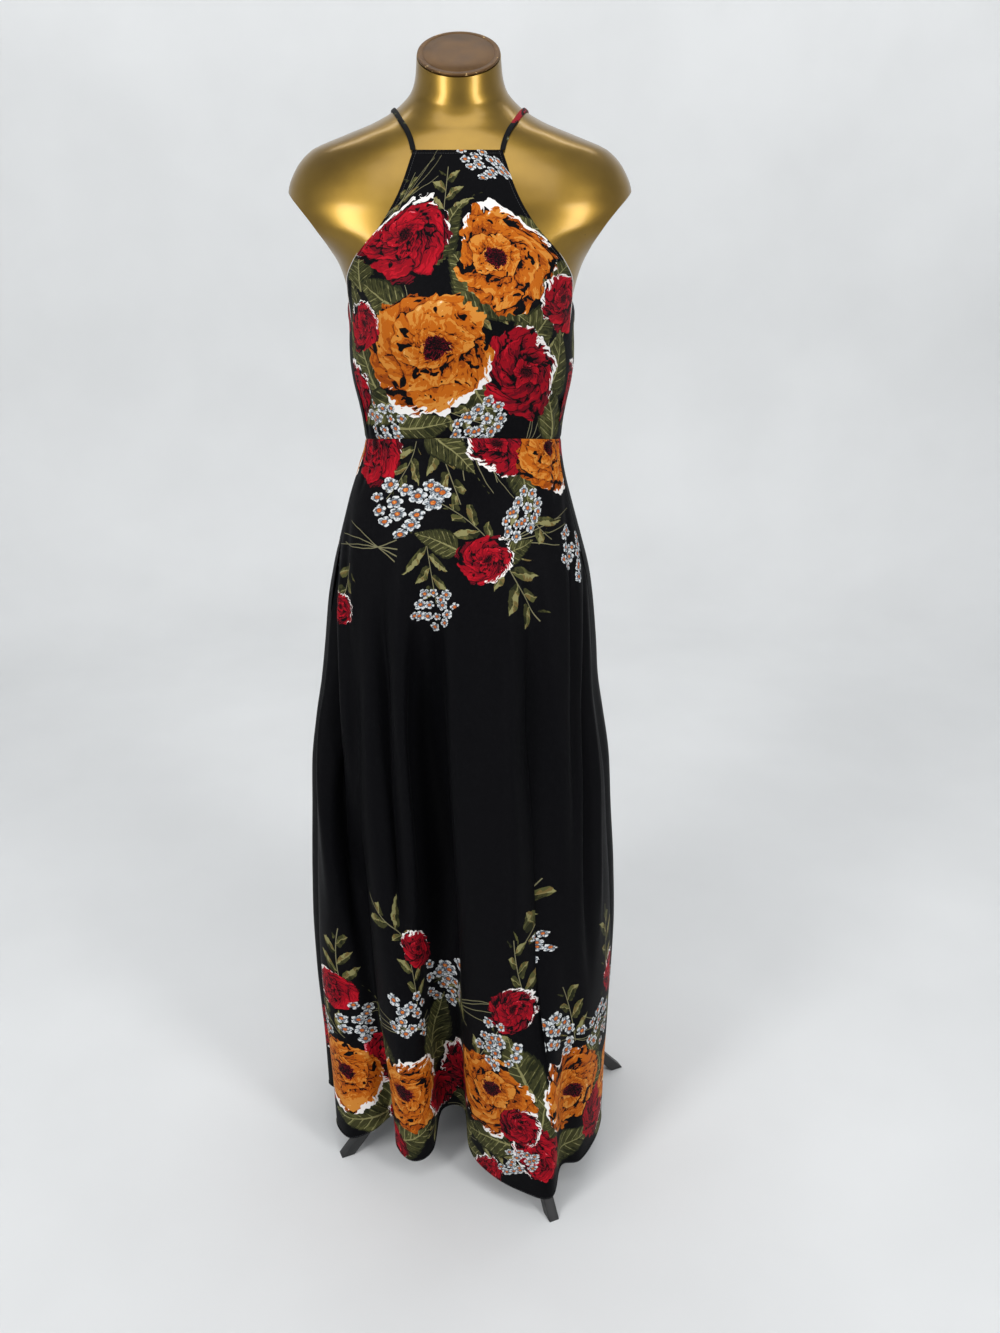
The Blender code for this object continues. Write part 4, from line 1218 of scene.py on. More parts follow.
# Stems of grass: how steeply each one leaves, how it curls, and its reach
GRASS_STEMS = ((0.62, -0.22, 1.5), (0.20, 0.10, 1.9), (-0.16, 0.16, 1.7), (-0.55, 0.12, 1.3))


# Motifs, each drawn by a formula in its own square, from -1 to 1: its colour, and where it covers


def bloom(flower, x, y, seed):
    """A full flower with petals that swirl round an eye."""
    stops, (eye_x, eye_y, eye_size), swirl, petals, (crease_dark, blot_dark), rim_side = flower
    # the outline, pushed about and scalloped
    shove = apart(noise(together(x, y, seed), 1.7, 3.0, 0.6, "Color"))
    x = x + BLOOM_SHOVE * (shove[0] - 0.5)
    y = y + BLOOM_SHOVE * (shove[1] - 0.5)
    far = length_of(x, y) + TINY
    side_x, side_y = x / far, y / far
    edge = noise(together(side_x, side_y, seed), 1.3, 1.0)
    scallop = noise(together(side_x, side_y, seed + 3.0), 5.2, 1.0)
    limit = 0.50 + 0.36 * edge + 0.30 * scallop
    cover = below(far, limit)
    # the petals: cells round the eye that grow wider outward
    off_x, off_y = x - eye_x, y - eye_y
    reach = length_of(off_x, off_y) + TINY
    turn = swirl * reach
    turn_sin, turn_cos = sine(turn), cosine(turn)
    ray_x = (off_x * turn_cos - off_y * turn_sin) / reach
    ray_y = (off_x * turn_sin + off_y * turn_cos) / reach
    depth = petals * maths("LOGARITHM", reach + 0.16, math.e) + seed
    field = together(ray_x * 1.35, ray_y * 1.35, depth)
    _, chance, middle = cells(field, 1.0)
    lip = depth - apart(middle)[2]
    stroke = noise(together(ray_x * 3.4, ray_y * 3.4, depth * 1.3), 1.7, 3.0, 0.6)
    fleck = noise(together(ray_x * 6.0, ray_y * 6.0, depth * 3.0 + 7.0), 1.3, 1.0)
    crease, = cells(field, 1.0, feature="DISTANCE_TO_EDGE")
    # light at their lips, dark in their creases, blots and flecks
    tone = 0.42 + 0.46 * lip + 1.5 * (stroke - 0.5) + 0.36 * (apart(chance)[0] - 0.5)
    tone = tone - crease_dark * rising(crease + 0.10 * (fleck - 0.5), 0.0, 0.07, 1.0, 0.0)
    blot = noise(together(off_x, off_y, seed + 5.0), 4.4, 2.0)
    tone = tone - blot_dark * rising(blot, 0.63, 0.66)
    tone = tone - 0.75 * rising(fleck, 0.68, 0.72)
    colour = flat_tones(tone, stops)
    heart = reach + 0.12 * (fleck - 0.5) + 0.08 * (stroke - 0.5)
    colour = painted(colour, below(heart, eye_size), WINE)
    pupil = below(heart, eye_size * 0.95) * above(fleck + 0.5 * (eye_size - reach), 0.46)
    colour = painted(colour, pupil, INK_BLACK)
    lit_side = side_x * rim_side[0] + side_y * rim_side[1]
    rim = above(far / limit + 0.8 * (stroke - 0.5) + 0.16 * lit_side, 1.06)
    return painted(colour, rim, OFF_WHITE), cover


def leaf(x, y, seed):
    """A broad leaf along its own x, with a bent midrib, side veins and a toothed edge."""
    ragged = noise(together(x, y, seed), 2.6, 2.0)
    bend = noise(together(seed, 0.5), 1.0, 0.0) - 0.5
    y = y + bend * (1.0 - x * x) + 0.14 * (ragged - 0.5)
    vein = part_of((x - size_of(y) * VEIN_SLANT) * VEINS + seed)
    round_share = root(most((x + LEAF_HALF) * (LEAF_HALF - x), 0.0))
    width = round_share * (0.80 - 0.52 * x) + 0.07 * vein - 0.04
    cover = below(size_of(y), width) * above(x, LEAF_START)
    stroke = noise(together((x - size_of(y) * VEIN_SLANT) * 5.0, y * 1.6, seed), 1.8, 3.0)
    tone = 0.36 + 1.5 * (stroke - 0.5) + 0.16 * above(y, 0.0)
    tone = tone + 0.42 * below(size_of(vein - 0.5), 0.06) * below(size_of(y), width * 0.86)
    tone = tone + 0.6 * below(size_of(y), 0.035 - 0.025 * x)
    tone = tone - 0.30 * above(size_of(y), width * 0.88)
    return flat_tones(tone, LEAF_TONES), cover


def daisies(x, y, seed):
    """A cluster of small daisies: pale petals with a shaded foot round an orange heart."""
    field_x, field_y = (seed * step for step in DAISY_FIELD)
    x, y = x * DAISY_SCALE + field_x, y * DAISY_SCALE + field_y
    _, colour, middle = cells(together(x, y), 1.0, DAISY_UNEVENNESS, voronoi_dimensions="2D")
    middle_x, middle_y, _ = apart(middle)
    used = below(length_of(middle_x - field_x, middle_y - field_y), DAISY_REACH)
    chance = apart(colour)
    off_x = x - middle_x
    off_y = (y - middle_y) / (0.75 + 0.25 * chance[2])
    far = length_of(off_x, off_y)
    ragged = noise(together(off_x, off_y, chance[2]), 7.0, 2.0)
    angle = maths("ARCTAN2", off_y, off_x) + chance[0] * 6.0 + 0.8 * (ragged - 0.5)
    petal = size_of(cosine(angle * HALF_PETALS))
    limit = (0.26 + 0.30 * petal ** 0.45) * (0.80 + 0.3 * chance[1]) + 0.12 * (ragged - 0.5)
    cover = below(far, limit) * used
    tone = 0.62 * far / limit + 1.8 * (ragged - 0.5) + 0.30 * (petal - 0.5)
    colour = flat_tones(tone, DAISY_TONES)
    heart = far + 0.10 * (ragged - 0.5)
    colour = painted(colour, below(heart, 0.21), PETAL_SHADE)
    colour = painted(colour, below(heart, 0.16), DAISY_HEART)
    return painted(colour, below(heart, 0.13) * above(ragged, 0.55), HEART_LIGHT), cover


def sprig(x, y, seed):
    """Pointed leaves in pairs that slant forward along a bent stem."""
    bend = noise(together(seed, 0.7), 1.0, 0.0) - 0.5
    y = y + 1.3 * bend * (0.8 - x * x)
    ragged = noise(together(x, y, seed), 3.4, 2.0)
    side = above(y, 0.0)
    lean = x - SPRIG_SLANT * size_of(y)
    row = (lean + 1.0) * SPRIG_PAIRS + 0.5 * side + 0.45 * (ragged - 0.5)
    chance = noise(together(whole_of(row) * 3.1 + seed, side * 5.3), 1.0, 0.0)
    length = (1.70 * chance - 0.22) * (0.90 - 0.40 * lean)
    share = size_of(y) / most(length, 0.05)
    across = part_of(row) - 0.5
    lens = 0.80 * share * (1.0 - share) * (1.6 - share)
    inside = below(size_of(across), 1.35 * lens) * below(share, 1.0)
    inside = inside * above(lean, SPRIG_START) * below(lean, SPRIG_END)
    stem = below(size_of(y), 0.016) * below(size_of(x), 0.9)
    tone = 0.20 + 0.8 * chance * above(across, 0.0) + 1.6 * (ragged - 0.5) + 0.4 * share
    tone = tone + 0.5 * below(size_of(across), 0.03)
    return painted(GRASS_INK, inside, flat_tones(tone, SPRIG_TONES)), most(inside, stem)


def grass(x, y, seed):
    """Thin stems that part from the motif's left end, each bent its own way."""
    along = x + 1.0
    bend = noise(together(seed, 0.3), 1.0, 0.0) - 0.5
    waver = 0.10 * noise(together(along, seed), 2.2, 1.0) - 0.05
    cover = 0.0
    for rise, curl, reach in GRASS_STEMS:
        line = along * (rise + bend) + along * along * (curl - bend) + waver
        blade = below(size_of(y - line), 0.020 - 0.006 * along) * below(along, reach)
        cover = most(blade, cover)
    return GRASS_INK, cover


# The layers of the print and what each one draws over those before it
MOTIFS = {
    "grass": grass,
    "sprig": sprig,
    "leaf": leaf,
    "leaf_over": leaf,
    "rose": partial(bloom, ROSE),
    "peony": partial(bloom, PEONY),
    "rose_over": partial(bloom, ROSE_OVER),
    "daisy": daisies,
}


def layer_group(layer):
    """A layer of the print as a node group that gives its colour and where it covers."""
    name = "print_" + layer
    if name not in bpy.data.node_groups:
        group = bpy.data.node_groups.new(name, "ShaderNodeTree")
        for label, kind in (("Colour", "NodeSocketColor"), ("Cover", "NodeSocketFloat")):
            group.interface.new_socket(label, in_out="OUTPUT", socket_type=kind)
        out = group.nodes.new("NodeGroupOutput")
        place = group.nodes.new("ShaderNodeAttribute")
        place.attribute_name = name
        for target, value in zip(out.inputs, MOTIFS[layer](*apart(Wire(place.outputs["Vector"])))):
            feed(target, value)
    return bpy.data.node_groups[name]


def print_colour(tree, layers):
    """These layers of the print on black."""
    ground = tree.nodes.new("ShaderNodeRGB")
    ground.outputs[0].default_value = INK_BLACK
    colour = Wire(ground.outputs[0])
    for layer in layers:
        node = tree.nodes.new("ShaderNodeGroup")
        node.node_tree = layer_group(layer)
        colour = painted(colour, Wire(node.outputs[1]), Wire(node.outputs[0]))
    return colour


# Looks

THREAD_GREY = rgb(90, 90, 94)
REVERSE_GREY = rgb(92, 91, 94)
# The cloth's threads: how many slubs there are to a metre, and how much of their grey shows
SLUB_SCALE = 260.0
THREAD_SHOW = 0.02
# side of the cloth, how much of a tint covers its print there. The pale rim's off-white is partly the
# cloth's back and partly a painted highlight along the edge
SIDE_TINTS = {"inside": (0.45, REVERSE_GREY), "pale_rim": (0.8, OFF_WHITE)}
# Above this height the right strap is red in places
STRAP_RED_Z = 1.484
GOLD_TONES = ((0.30, rgb(126, 98, 38)), (0.72, rgb(147, 117, 49)))
GOLD_SPOT = rgb(52, 38, 20)
BRONZE_TONES = ((0.3, rgb(92, 66, 38)), (0.7, rgb(112, 83, 50)))
BRONZE_CHIP = rgb(196, 164, 110)
CHIP_LIMIT = 0.62
BLACK_TONES = ((0.35, rgb(17, 17, 18)), (0.75, rgb(38, 37, 36)))
THREAD_TONES = ((0.3, rgb(10, 10, 11)), (0.7, rgb(44, 44, 47)))
PAPER_TONES = ((0.3, rgb(214, 215, 215)), (0.7, rgb(220, 221, 221)))
WORLD_TONE = rgb(236, 240, 246)


def new_look(name):
    """A new material, and the place of each point on the object that wears it."""
    look = bpy.data.materials.new(name)
    look.use_nodes = True
    return look, Wire(look.node_tree.nodes.new("ShaderNodeTexCoord").outputs["Object"])


def finish_look(look, inputs, relief=None):
    """Feeds the shader's inputs. A relief is a bump's height, its distance and its strength."""
    nodes = look.node_tree.nodes
    shader = nodes["Principled BSDF"]
    for name, value in inputs.items():
        feed(shader.inputs[name], value)
    if relief:
        bump = nodes.new("ShaderNodeBump")
        for name, value in zip(("Height", "Distance", "Strength"), relief):
            feed(bump.inputs[name], value)
        feed(shader.inputs["Normal"], Wire(bump.outputs[0]))
    return look


def cloth_look(side, layers=()):
    """Smooth printed crepe as seen from one side, with the layers of the print that meet there."""
    name = "crepe_" + "_".join((side, *layers))
    if name in bpy.data.materials:
        return bpy.data.materials[name]
    look, place = new_look(name)
    thread = noise(place, 1500.0, 1.0)
    slub = noise(place, SLUB_SCALE, 2.0)
    cloud = noise(place, 9.0, 3.0)
    ink = print_colour(look.node_tree, layers)
    if side in SIDE_TINTS:
        ink = painted(ink, *SIDE_TINTS[side])
    return finish_look(look, {
        "Base Color": painted(ink, slub * THREAD_SHOW, THREAD_GREY),
        "Roughness": 0.46 + 0.12 * cloud + 0.10 * slub,
        "Sheen Weight": 0.005,
        "Sheen Roughness": 0.4,
        "Specular IOR Level": 0.04,
    }, (thread * 0.6 + slub * 0.8, 0.00022, 0.7))


def gold_look():
    """The form's gold lacquer, with fine grain and a few dark specks."""
    look, place = new_look("gold_lacquer")
    mottle = noise(place, 14.0, 4.0)
    grain = noise(place, 620.0, 2.0)
    speck = cells(place, 55.0)[0]
    chance = noise(place, 23.0, 0.0)
    spots = below(speck, 0.040) * above(chance, 0.60)
    return finish_look(look, {
        "Base Color": painted(tones(mottle, GOLD_TONES), spots * 0.75, GOLD_SPOT),
        "Roughness": 0.26 + 0.10 * mottle + 0.05 * grain,
        "Metallic": 1.0,
        "Coat Weight": 0.35,
        "Coat Roughness": 0.17,
    }, (grain * 0.5 + mottle * 2.0, 0.00012, 0.5))


def bronze_look():
    """The cap's brushed bronze, with small worn chips near its rim."""
    look, place = new_look("cap_bronze")
    x, y, _ = apart(place)
    x = (x - SHIFT.x) / CAP_HALF_WIDTH
    y = (y - SHIFT.y + CAP_THICKNESS * math.sin(CAP_TILT)) / (CAP_HALF_DEPTH * math.cos(CAP_TILT))
    from_middle = length_of(x, y)
    mottle = noise(place, 60.0, 4.0)
    grain = noise(place, 900.0, 2.0)
    chip = above(noise(place, 210.0, 2.0) + 0.9 * (from_middle - 1.0), CHIP_LIMIT)
    return finish_look(look, {
        "Base Color": painted(tones(mottle, BRONZE_TONES), chip, BRONZE_CHIP),
        "Roughness": 0.40 + 0.14 * mottle,
        "Metallic": 0.75 - 0.25 * chip,
    }, (grain - 0.6 * chip, 0.00014, 0.8))


def strap_look():
    """Straps cut from the same cloth, where only scraps of the flowers show."""
    look, place = new_look("crepe_strap")
    x, _, z = apart(place)
    slub = noise(place, SLUB_SCALE, 2.0)
    scrap = noise(place, 95.0, 1.0)
    petal = above(noise(place, 120.0, 2.0), 0.47) * above(x, 0.0) * above(z, STRAP_RED_Z)
    colour = painted(INK_BLACK, above(scrap, 0.66), LEAF_MID)
    colour = painted(colour, above(scrap, 0.72), PETAL_PALE)
    colour = painted(colour, petal, CRIMSON)
    return finish_look(look, {
        "Base Color": painted(colour, slub * THREAD_SHOW, THREAD_GREY),
        "Roughness": 0.50 + 0.16 * slub,
        "Specular IOR Level": 0.12,
    }, (slub, 0.0002, 0.7))


def black_look():
    """The stand's black paint, a little dusty."""
    look, place = new_look("stand_black")
    grain = noise(place, 700.0, 3.0)
    dust = noise(place, 30.0, 4.0)
    return finish_look(look, {
        "Base Color": tones(dust, BLACK_TONES),
        "Roughness": 0.38 + 0.22 * dust,
    }, (grain, 0.00018, 0.7))


def thread_look():
    """The stitches' black thread."""
    look, place = new_look("thread_black")
    twist = noise(place, 2600.0, 1.0)
    return finish_look(look, {
        "Base Color": tones(twist, THREAD_TONES),
        "Roughness": 0.6,
        "Sheen Weight": 0.2,
    })


def paper_look():
    """The studio's pale paper."""
    look, place = new_look("studio_paper")
    patch = noise(place, 2.4, 3.0)
    return finish_look(look, {
        "Base Color": tones(patch, PAPER_TONES),
        "Roughness": 0.75,
        "Specular IOR Level": 0.2,
    })


# The form and its stand


def body_rings():
    """Rings of points round the body, from the hips to the neck."""
    heights = np.linspace(BODY_SECTIONS[0, 0], BODY_SECTIONS[-1, 0], TORSO_ROWS)
    return around_body(whole_turn(TORSO_COLUMNS)[None, :], heights[:, None], 0.0)


def plate_place(side, z):
    """Where an arm's plate lies at a height. Below the arms it is clear of the body."""
    return side * (float(eased(ARM_PLATE, z)) if z > ARM_PLATE[0, 0] else CLEAR_OF_BODY)


def cut_arm(bm, side):
    """Cuts the body off at one arm's hollow plate, closes the cut and rounds its rim.

    The points are moved in by the plate's own distance first, so that the cut is level.
    """
    for v in bm.verts:
        v.co.x -= plate_place(side, v.co.z)
    bmesh.ops.bisect_plane(
        bm, geom=bm.verts[:] + bm.edges[:] + bm.faces[:], plane_co=(0.0, 0.0, 0.0),
        plane_no=(side, 0.0, 0.0), clear_outer=True,
    )
    corners = [v for v in bm.verts if v.is_boundary]
    bmesh.ops.remove_doubles(bm, verts=corners, dist=ARM_RIM_SHORTEST)
    rim = [e for e in bm.edges if e.is_boundary]
    bmesh.ops.contextual_create(bm, geom=rim)
    bmesh.ops.bevel(bm, geom=rim, offset=ARM_RIM_ROUNDING, clamp_overlap=True, **BEVEL)
    plate = [
        f for f in bm.faces if len(f.verts) > ARM_PLATE_CORNERS and abs(f.normal.x) > ARM_PLATE_FACING
    ]
    heights = [v.co.z for v in plate[0].verts]
    for z in np.linspace(min(heights), max(heights), ARM_PLATE_ROWS)[1:-1]:
        edges = dict.fromkeys(e for f in plate for e in f.edges)
        corners = dict.fromkeys(v for f in plate for v in f.verts)
        split = bmesh.ops.bisect_plane(
            bm, geom=[*plate, *edges, *corners], plane_co=(0.0, 0.0, z), plane_no=(0.0, 0.0, 1.0)
        )
        plate = [g for g in split["geom"] if isinstance(g, bmesh.types.BMFace)]
    made = set(bmesh.ops.triangulate(bm, faces=plate)["faces"])
    for edge in bm.edges:
        if len(made.intersection(edge.link_faces)) == 1:
            edge.smooth = False
    for v in bm.verts:
        v.co.x += plate_place(side, v.co.z)


def make_torso(look):
    rings = body_rings()
    faces = rings_faces(TORSO_ROWS, TORSO_COLUMNS)
    torso = add_mesh("form_torso_lacquered", rings.reshape(-1, 3), faces, [look])
    bm = bmesh.new()
    bm.from_mesh(torso.data)
    for side in (-1, 1):
        cut_arm(bm, side)
    for edge in bm.edges:
        edge.smooth = edge.smooth and edge.calc_face_angle(0.0) < TORSO_SHARP
    bmesh.ops.translate(bm, vec=SHIFT, verts=bm.verts)
    bm.to_mesh(torso.data)
    bm.free()
    declare(torso, "gold_lacquer", "form_torso")


def cap_profile():
    """Height in the plate and how far it is drawn in there, from below over the rim to the top."""
    rim = CAP_ROUNDING
    profile = [(SEAM_GAP, CAP_LOWER_ROUNDING), (SEAM_GAP + CAP_LOWER_ROUNDING, 0.0)]
    for step in range(CAP_ROUNDING_STEPS + 1):
        turn = math.pi / 2 * step / CAP_ROUNDING_STEPS
        profile.append((CAP_THICKNESS - rim + rim * math.sin(turn), rim - rim * math.cos(turn)))
    for share in np.linspace(0.0, 1.0, CAP_ROUNDING_STEPS + 1):
        dip = CAP_RING_DEPTH * math.sin(math.pi * share)
        profile.append((CAP_THICKNESS - dip, CAP_RING_INSET + CAP_RING_WIDTH * share))
    return profile + [(CAP_THICKNESS, CAP_PLATE_INSET)]


def make_cap(look):
    """The oval plate on the neck, with a rounded rim and a plain ring."""
    rings = []
    for height, drawn_in in cap_profile():
        depth = CAP_HALF_DEPTH - drawn_in
        x, flat_y, _, _ = oval(whole_turn(CAP_COLUMNS), CAP_HALF_WIDTH - drawn_in, depth, depth, 2.0)
        y = flat_y * math.cos(CAP_TILT) - height * math.sin(CAP_TILT)
        z = flat_y * math.sin(CAP_TILT) + height * math.cos(CAP_TILT) + NECK_TOP_Z
        rings.append(np.stack([x, y, z], axis=-1))
    declare(add_rings("neck_cap_plate", np.stack(rings), look, CAP_SHARP), "cap_bronze", "neck_cap")


def rounded_block(node, part, build, place, turn_deg, look):
    """A block or bar of the stand with softened edges."""
    bm = bmesh.new()
    build(bm)
    bmesh.ops.recalc_face_normals(bm, faces=bm.faces)
    bmesh.ops.bevel(bm, geom=bm.edges[:], offset=BAR_ROUNDING, **BEVEL)
    mesh = bpy.data.meshes.new(f"{node}_{part}")
    bm.to_mesh(mesh)
    bm.free()
    obj = add_object(mesh, [look], BAR_SHARP)
    obj.location = Vector(place) + SHIFT
    obj.rotation_euler = (0.0, 0.0, math.radians(turn_deg))
    declare(obj, "stand_black", node)


def make_leg(number, look):
    """A square bar from the hub to the floor, its end cut flat where it stands."""
    slope = math.atan(LEG_RISE)
    start = HUB_HALF + SEAM_GAP
    level_cut = LEG_SIDE / math.sin(slope)
    plumb_cut = LEG_SIDE / math.cos(slope)
    outer = FOOT_RADIUS + level_cut / 2
    top = (outer - start) * LEG_RISE
    side_view = ((start, top - plumb_cut), (outer - level_cut, 0.0), (outer, 0.0), (start, top))

    def bar(bm):
        halves = []
        for across in (-LEG_SIDE / 2, LEG_SIDE / 2):
            halves.append([bm.verts.new((across, -out, up)) for out, up in side_view])
        bm.faces.new(halves[0])
        bm.faces.new(halves[1][::-1])
        for i in range(len(side_view)):
            j = (i + 1) % len(side_view)
            bm.faces.new((halves[0][j], halves[0][i], halves[1][i], halves[1][j]))

    turn = STAND_TURN_DEG + (number - 1) * 360.0 / LEG_COUNT
    rounded_block(f"stand_leg_{number}", "bar", bar, (STAND_X, STAND_Y, 0.0), turn, look)


def make_hub(look):
    def block(bm):
        bmesh.ops.create_cube(bm, size=1.0)
        height = HUB_TOP_Z - HUB_BOTTOM_Z
        bmesh.ops.scale(bm, vec=(2 * HUB_HALF, 2 * HUB_HALF, height), verts=bm.verts)

    place = (STAND_X, STAND_Y, (HUB_TOP_Z + HUB_BOTTOM_Z) / 2)
    rounded_block("stand_hub", "block", block, place, STAND_TURN_DEG, look)


def make_pole(look):
    angle = whole_turn(POLE_COLUMNS)
    x = STAND_X + POLE_RADIUS * np.sin(angle)
    y = STAND_Y - POLE_RADIUS * np.cos(angle)
    ends = (HUB_TOP_Z + SEAM_GAP, FORM_BOTTOM_Z - SEAM_GAP)
    rings = np.stack([np.stack([x, y, np.full_like(x, z)], axis=-1) for z in ends])
    declare(add_rings("stand_pole_tube", rings, look, BAR_SHARP), "stand_black", "stand_pole")


# The dress


def declare_sheet(u, w):
    """Works out the widest row and the longest column of the flat cloth, and does nothing with them.
    """
    width = float((u[:, -1] - u[:, 0]).max())
    length = float((w[-1] - w[0]).max())


def rolled(distance):
    """How much a rolled hem adds to the sheet at a distance from it."""
    share = np.clip(distance / HEM_ROLL, 0.0, 1.0) * 2 - 1
    return HEM_PROUD * np.sqrt(np.clip(1 - share**2, 0.0, 1.0))


def turned(distance):
    """How much a turned and stitched edge adds to the sheet at a distance from it."""
    return EDGE_PROUD * (1 - smooth_step(EDGE_TURN * EDGE_FLAT_SHARE, EDGE_TURN, distance))


def line_in(surface, distance, inset):
    """Points on a surface, with their directions, at an inset from its first row."""
    return np.array([
        [np.interp(inset, distance[:, c], surface[:, c, k]) for k in range(surface.shape[2])]
        for c in range(surface.shape[1])
    ])


def stitch_places(line):
    """Ends and outward direction of each stitch along a line of points."""
    along = np.concatenate([[0.0], np.cumsum(np.linalg.norm(np.diff(line[:, :3], axis=0), axis=1))])
    starts = np.arange(STITCH_GAP, along[-1] - STITCH_LENGTH, STITCH_LENGTH + STITCH_GAP)
    ends = [
        np.stack([np.interp(at, along, line[:, k]) for k in range(line.shape[1])], axis=-1)
        for at in (starts, starts + STITCH_LENGTH)
    ]
    return ends[0][:, :3], ends[1][:, :3], ends[0][:, 3:]


def add_stitches(name, lines, look):
    """Rows of stitches as small rounded bars, sunk a little into the cloth."""
    start, end, out = (np.concatenate(part) for part in zip(*map(stitch_places, lines)))
    along = unit(end - start)
    side = unit(np.cross(along, out))
    up = np.cross(side, along)
    middle = (start + end) / 2 + up * STITCH_RADIUS * STITCH_LIFT
    turn = whole_turn(STITCH_COLUMNS)[None, :, None]
    ring = np.cos(turn) * side[:, None] + np.sin(turn) * up[:, None]
    rings = np.stack([
        middle[:, None] + along[:, None] * place * STITCH_LENGTH + ring * size * STITCH_RADIUS
        for place, size in STITCH_PROFILE
    ], axis=1)
    one = rings_faces(len(STITCH_PROFILE), STITCH_COLUMNS)
    per_stitch = len(STITCH_PROFILE) * STITCH_COLUMNS
    faces = [tuple(i + n * per_stitch for i in face) for n in range(len(start)) for face in one]
    stitches = add_mesh(name, moved_to_frame(rings.reshape(-1, 3)), faces, [look])
    declare(stitches, "crepe")
    return stitches


def finish_panel(node, grid, u, w, thickness, edges_of, thread, pale_above=math.inf):
    """Creases a panel, makes its sheet and its stitches, and says what it stands for."""
    middle = creased(grid, u, w, CREASES[node])
    piece = add_sheet(node, middle, u, w, thickness, pale_above)
    out = normals(middle)
    surface = np.concatenate([middle + out * thickness[..., None] / 2, out], axis=-1)
    stitches = add_stitches(node + "_stitches", edges_of(surface), thread)
    declare(piece, "crepe", node)
    declare_sheet(u, w)


def make_edge_roll(name, grid, edge, inner):
    """The unprinted back of the cloth, which shows in a thin roll at the foot of an armhole, made
    paler by a painted highlight.

    The edge and the column inside it are numbers of columns of the grid.
    """
    shown = (grid[:, edge, 2] > EDGE_ROLL_LOW_Z) & (grid[:, edge, 2] < EDGE_ROLL_HIGH_Z)
    out = normals(grid)[shown, edge]
    away = unit(grid[:, edge] - grid[:, inner])[shown]
    middle = grid[shown, edge] + away * EDGE_ROLL_RADIUS + out * EDGE_ROLL_PROUD
    tip = np.clip(np.sin(math.pi * np.linspace(0.0, 1.0, len(middle))), EDGE_ROLL_TIP, 1.0)
    radius = EDGE_ROLL_RADIUS * np.sqrt(tip)
    turn = whole_turn(EDGE_ROLL_COLUMNS)[:, None]
    ring = np.cos(turn) * out[:, None] + np.sin(turn) * away[:, None]
    rings = middle[:, None] + radius[:, None, None] * ring
    # the roll is off-white: the cloth's back, with a painted highlight along it
    piece = add_rings(name, rings, cloth_look("pale_rim"), CORD_SHARP)
    point_out(piece.data)
    declare(piece, "crepe")
    return piece


def make_bodice_front(thread):
    """The front panel, turned in at its neckline and armholes."""
    grid = bodice_front_grid()
    u, w = flat_places(grid, (grid.shape[1] - 1) / 2, 0)
    from_top = w[-1] - w
    from_left = u - u[:, :1]
    from_right = u[:, -1:] - u
    above_seam = smooth_step(SIDE_SEAM_TOP_Z, SIDE_SEAM_TOP_Z + EDGE_TURN, grid[..., 2])
    beside = turned(np.minimum(from_left, from_right)) * above_seam
    thickness = SHEET + np.maximum(turned(from_top), beside)
    armhole = grid[:, 0, 2] > SIDE_SEAM_TOP_Z

    def edges_of(surface):
        sides = surface[armhole].transpose(1, 0, 2)
        return [
            line_in(surface[::-1], from_top[::-1], EDGE_STITCH_IN),
            line_in(sides, from_left[armhole].T, EDGE_STITCH_IN),
            line_in(sides[::-1], from_right[armhole].T[::-1], EDGE_STITCH_IN),
        ]

    rolls = [
        make_edge_roll("armhole_roll_left", grid, 0, 1),
        make_edge_roll("armhole_roll_right", grid, -1, -2),
    ]
    # from the foot of the armholes up, the rim is painted pale, partly as a highlight
    pale_above = w[armhole].min()
    finish_panel("bodice_front", grid, u, w, thickness, edges_of, thread, pale_above)


def make_bodice_back(thread):
    """The back panel, turned in along its top."""
    grid = bodice_back_grid()
    u, w = flat_places(grid, (grid.shape[1] - 1) / 2, 0)
    from_top = w[-1] - w

    def edges_of(surface):
        return [line_in(surface[::-1], from_top[::-1], EDGE_STITCH_IN)]

    finish_panel("bodice_back", grid, u, w, SHEET + turned(from_top), edges_of, thread)


def make_skirt_panel(node, first_fold, last_fold, middle_deg, thread):
    """A skirt panel from one seam's fold to the other's, with a rolled hem."""
    grid, angle = skirt_grid(first_fold, last_fold)
    centre = float(np.interp(middle_deg, angle, np.arange(len(angle))))
    u, w = flat_places(grid, centre, len(grid) - 1)
    from_hem = w - w[0]

    def edges_of(surface):
        return [line_in(surface, from_hem, HEM_STITCH_IN)]

    finish_panel(node, grid, u, w, SHEET + rolled(from_hem), edges_of, thread)


def body_surface():
    """The body's side surface, on which the straps lie."""
    faces = grid_quads(TORSO_ROWS, TORSO_COLUMNS, 0, closed=True)
    return BVHTree.FromPolygons(body_rings().reshape(-1, 3).tolist(), faces.tolist())


def strap_line(side, surface):
    """Places and outward directions along one strap, read off the body's surface."""
    line = []
    for degrees in np.linspace(STRAP_ROUTE[0, 0], STRAP_ROUTE[-1, 0], STRAP_TRIAL_STATIONS):
        turn = math.radians(degrees)
        out = Vector((0.0, math.sin(turn), math.cos(turn)))
        centre = Vector((side * float(eased(STRAP_ROUTE, degrees)), 0.0, STRAP_CENTRE_Z))
        place, normal, _, _ = surface.ray_cast(centre + out * STRAP_RAY_START, -out)
        line.append((place, normal))
    return line


def cut_level(line, z):
    """The part of a strap above a height, with its end exactly there.

    A line that starts above the height is led on to it, straight away from the line's far end.
    """
    first = next(i for i, (place, _) in enumerate(line) if place.z > z)
    under, normal = line[first - 1]
    over = line[first][0]
    end = under.lerp(over, (z - under.z) / (over.z - under.z))
    return [(end, Vector((normal.x, normal.y, 0.0)).normalized())] + line[first:]


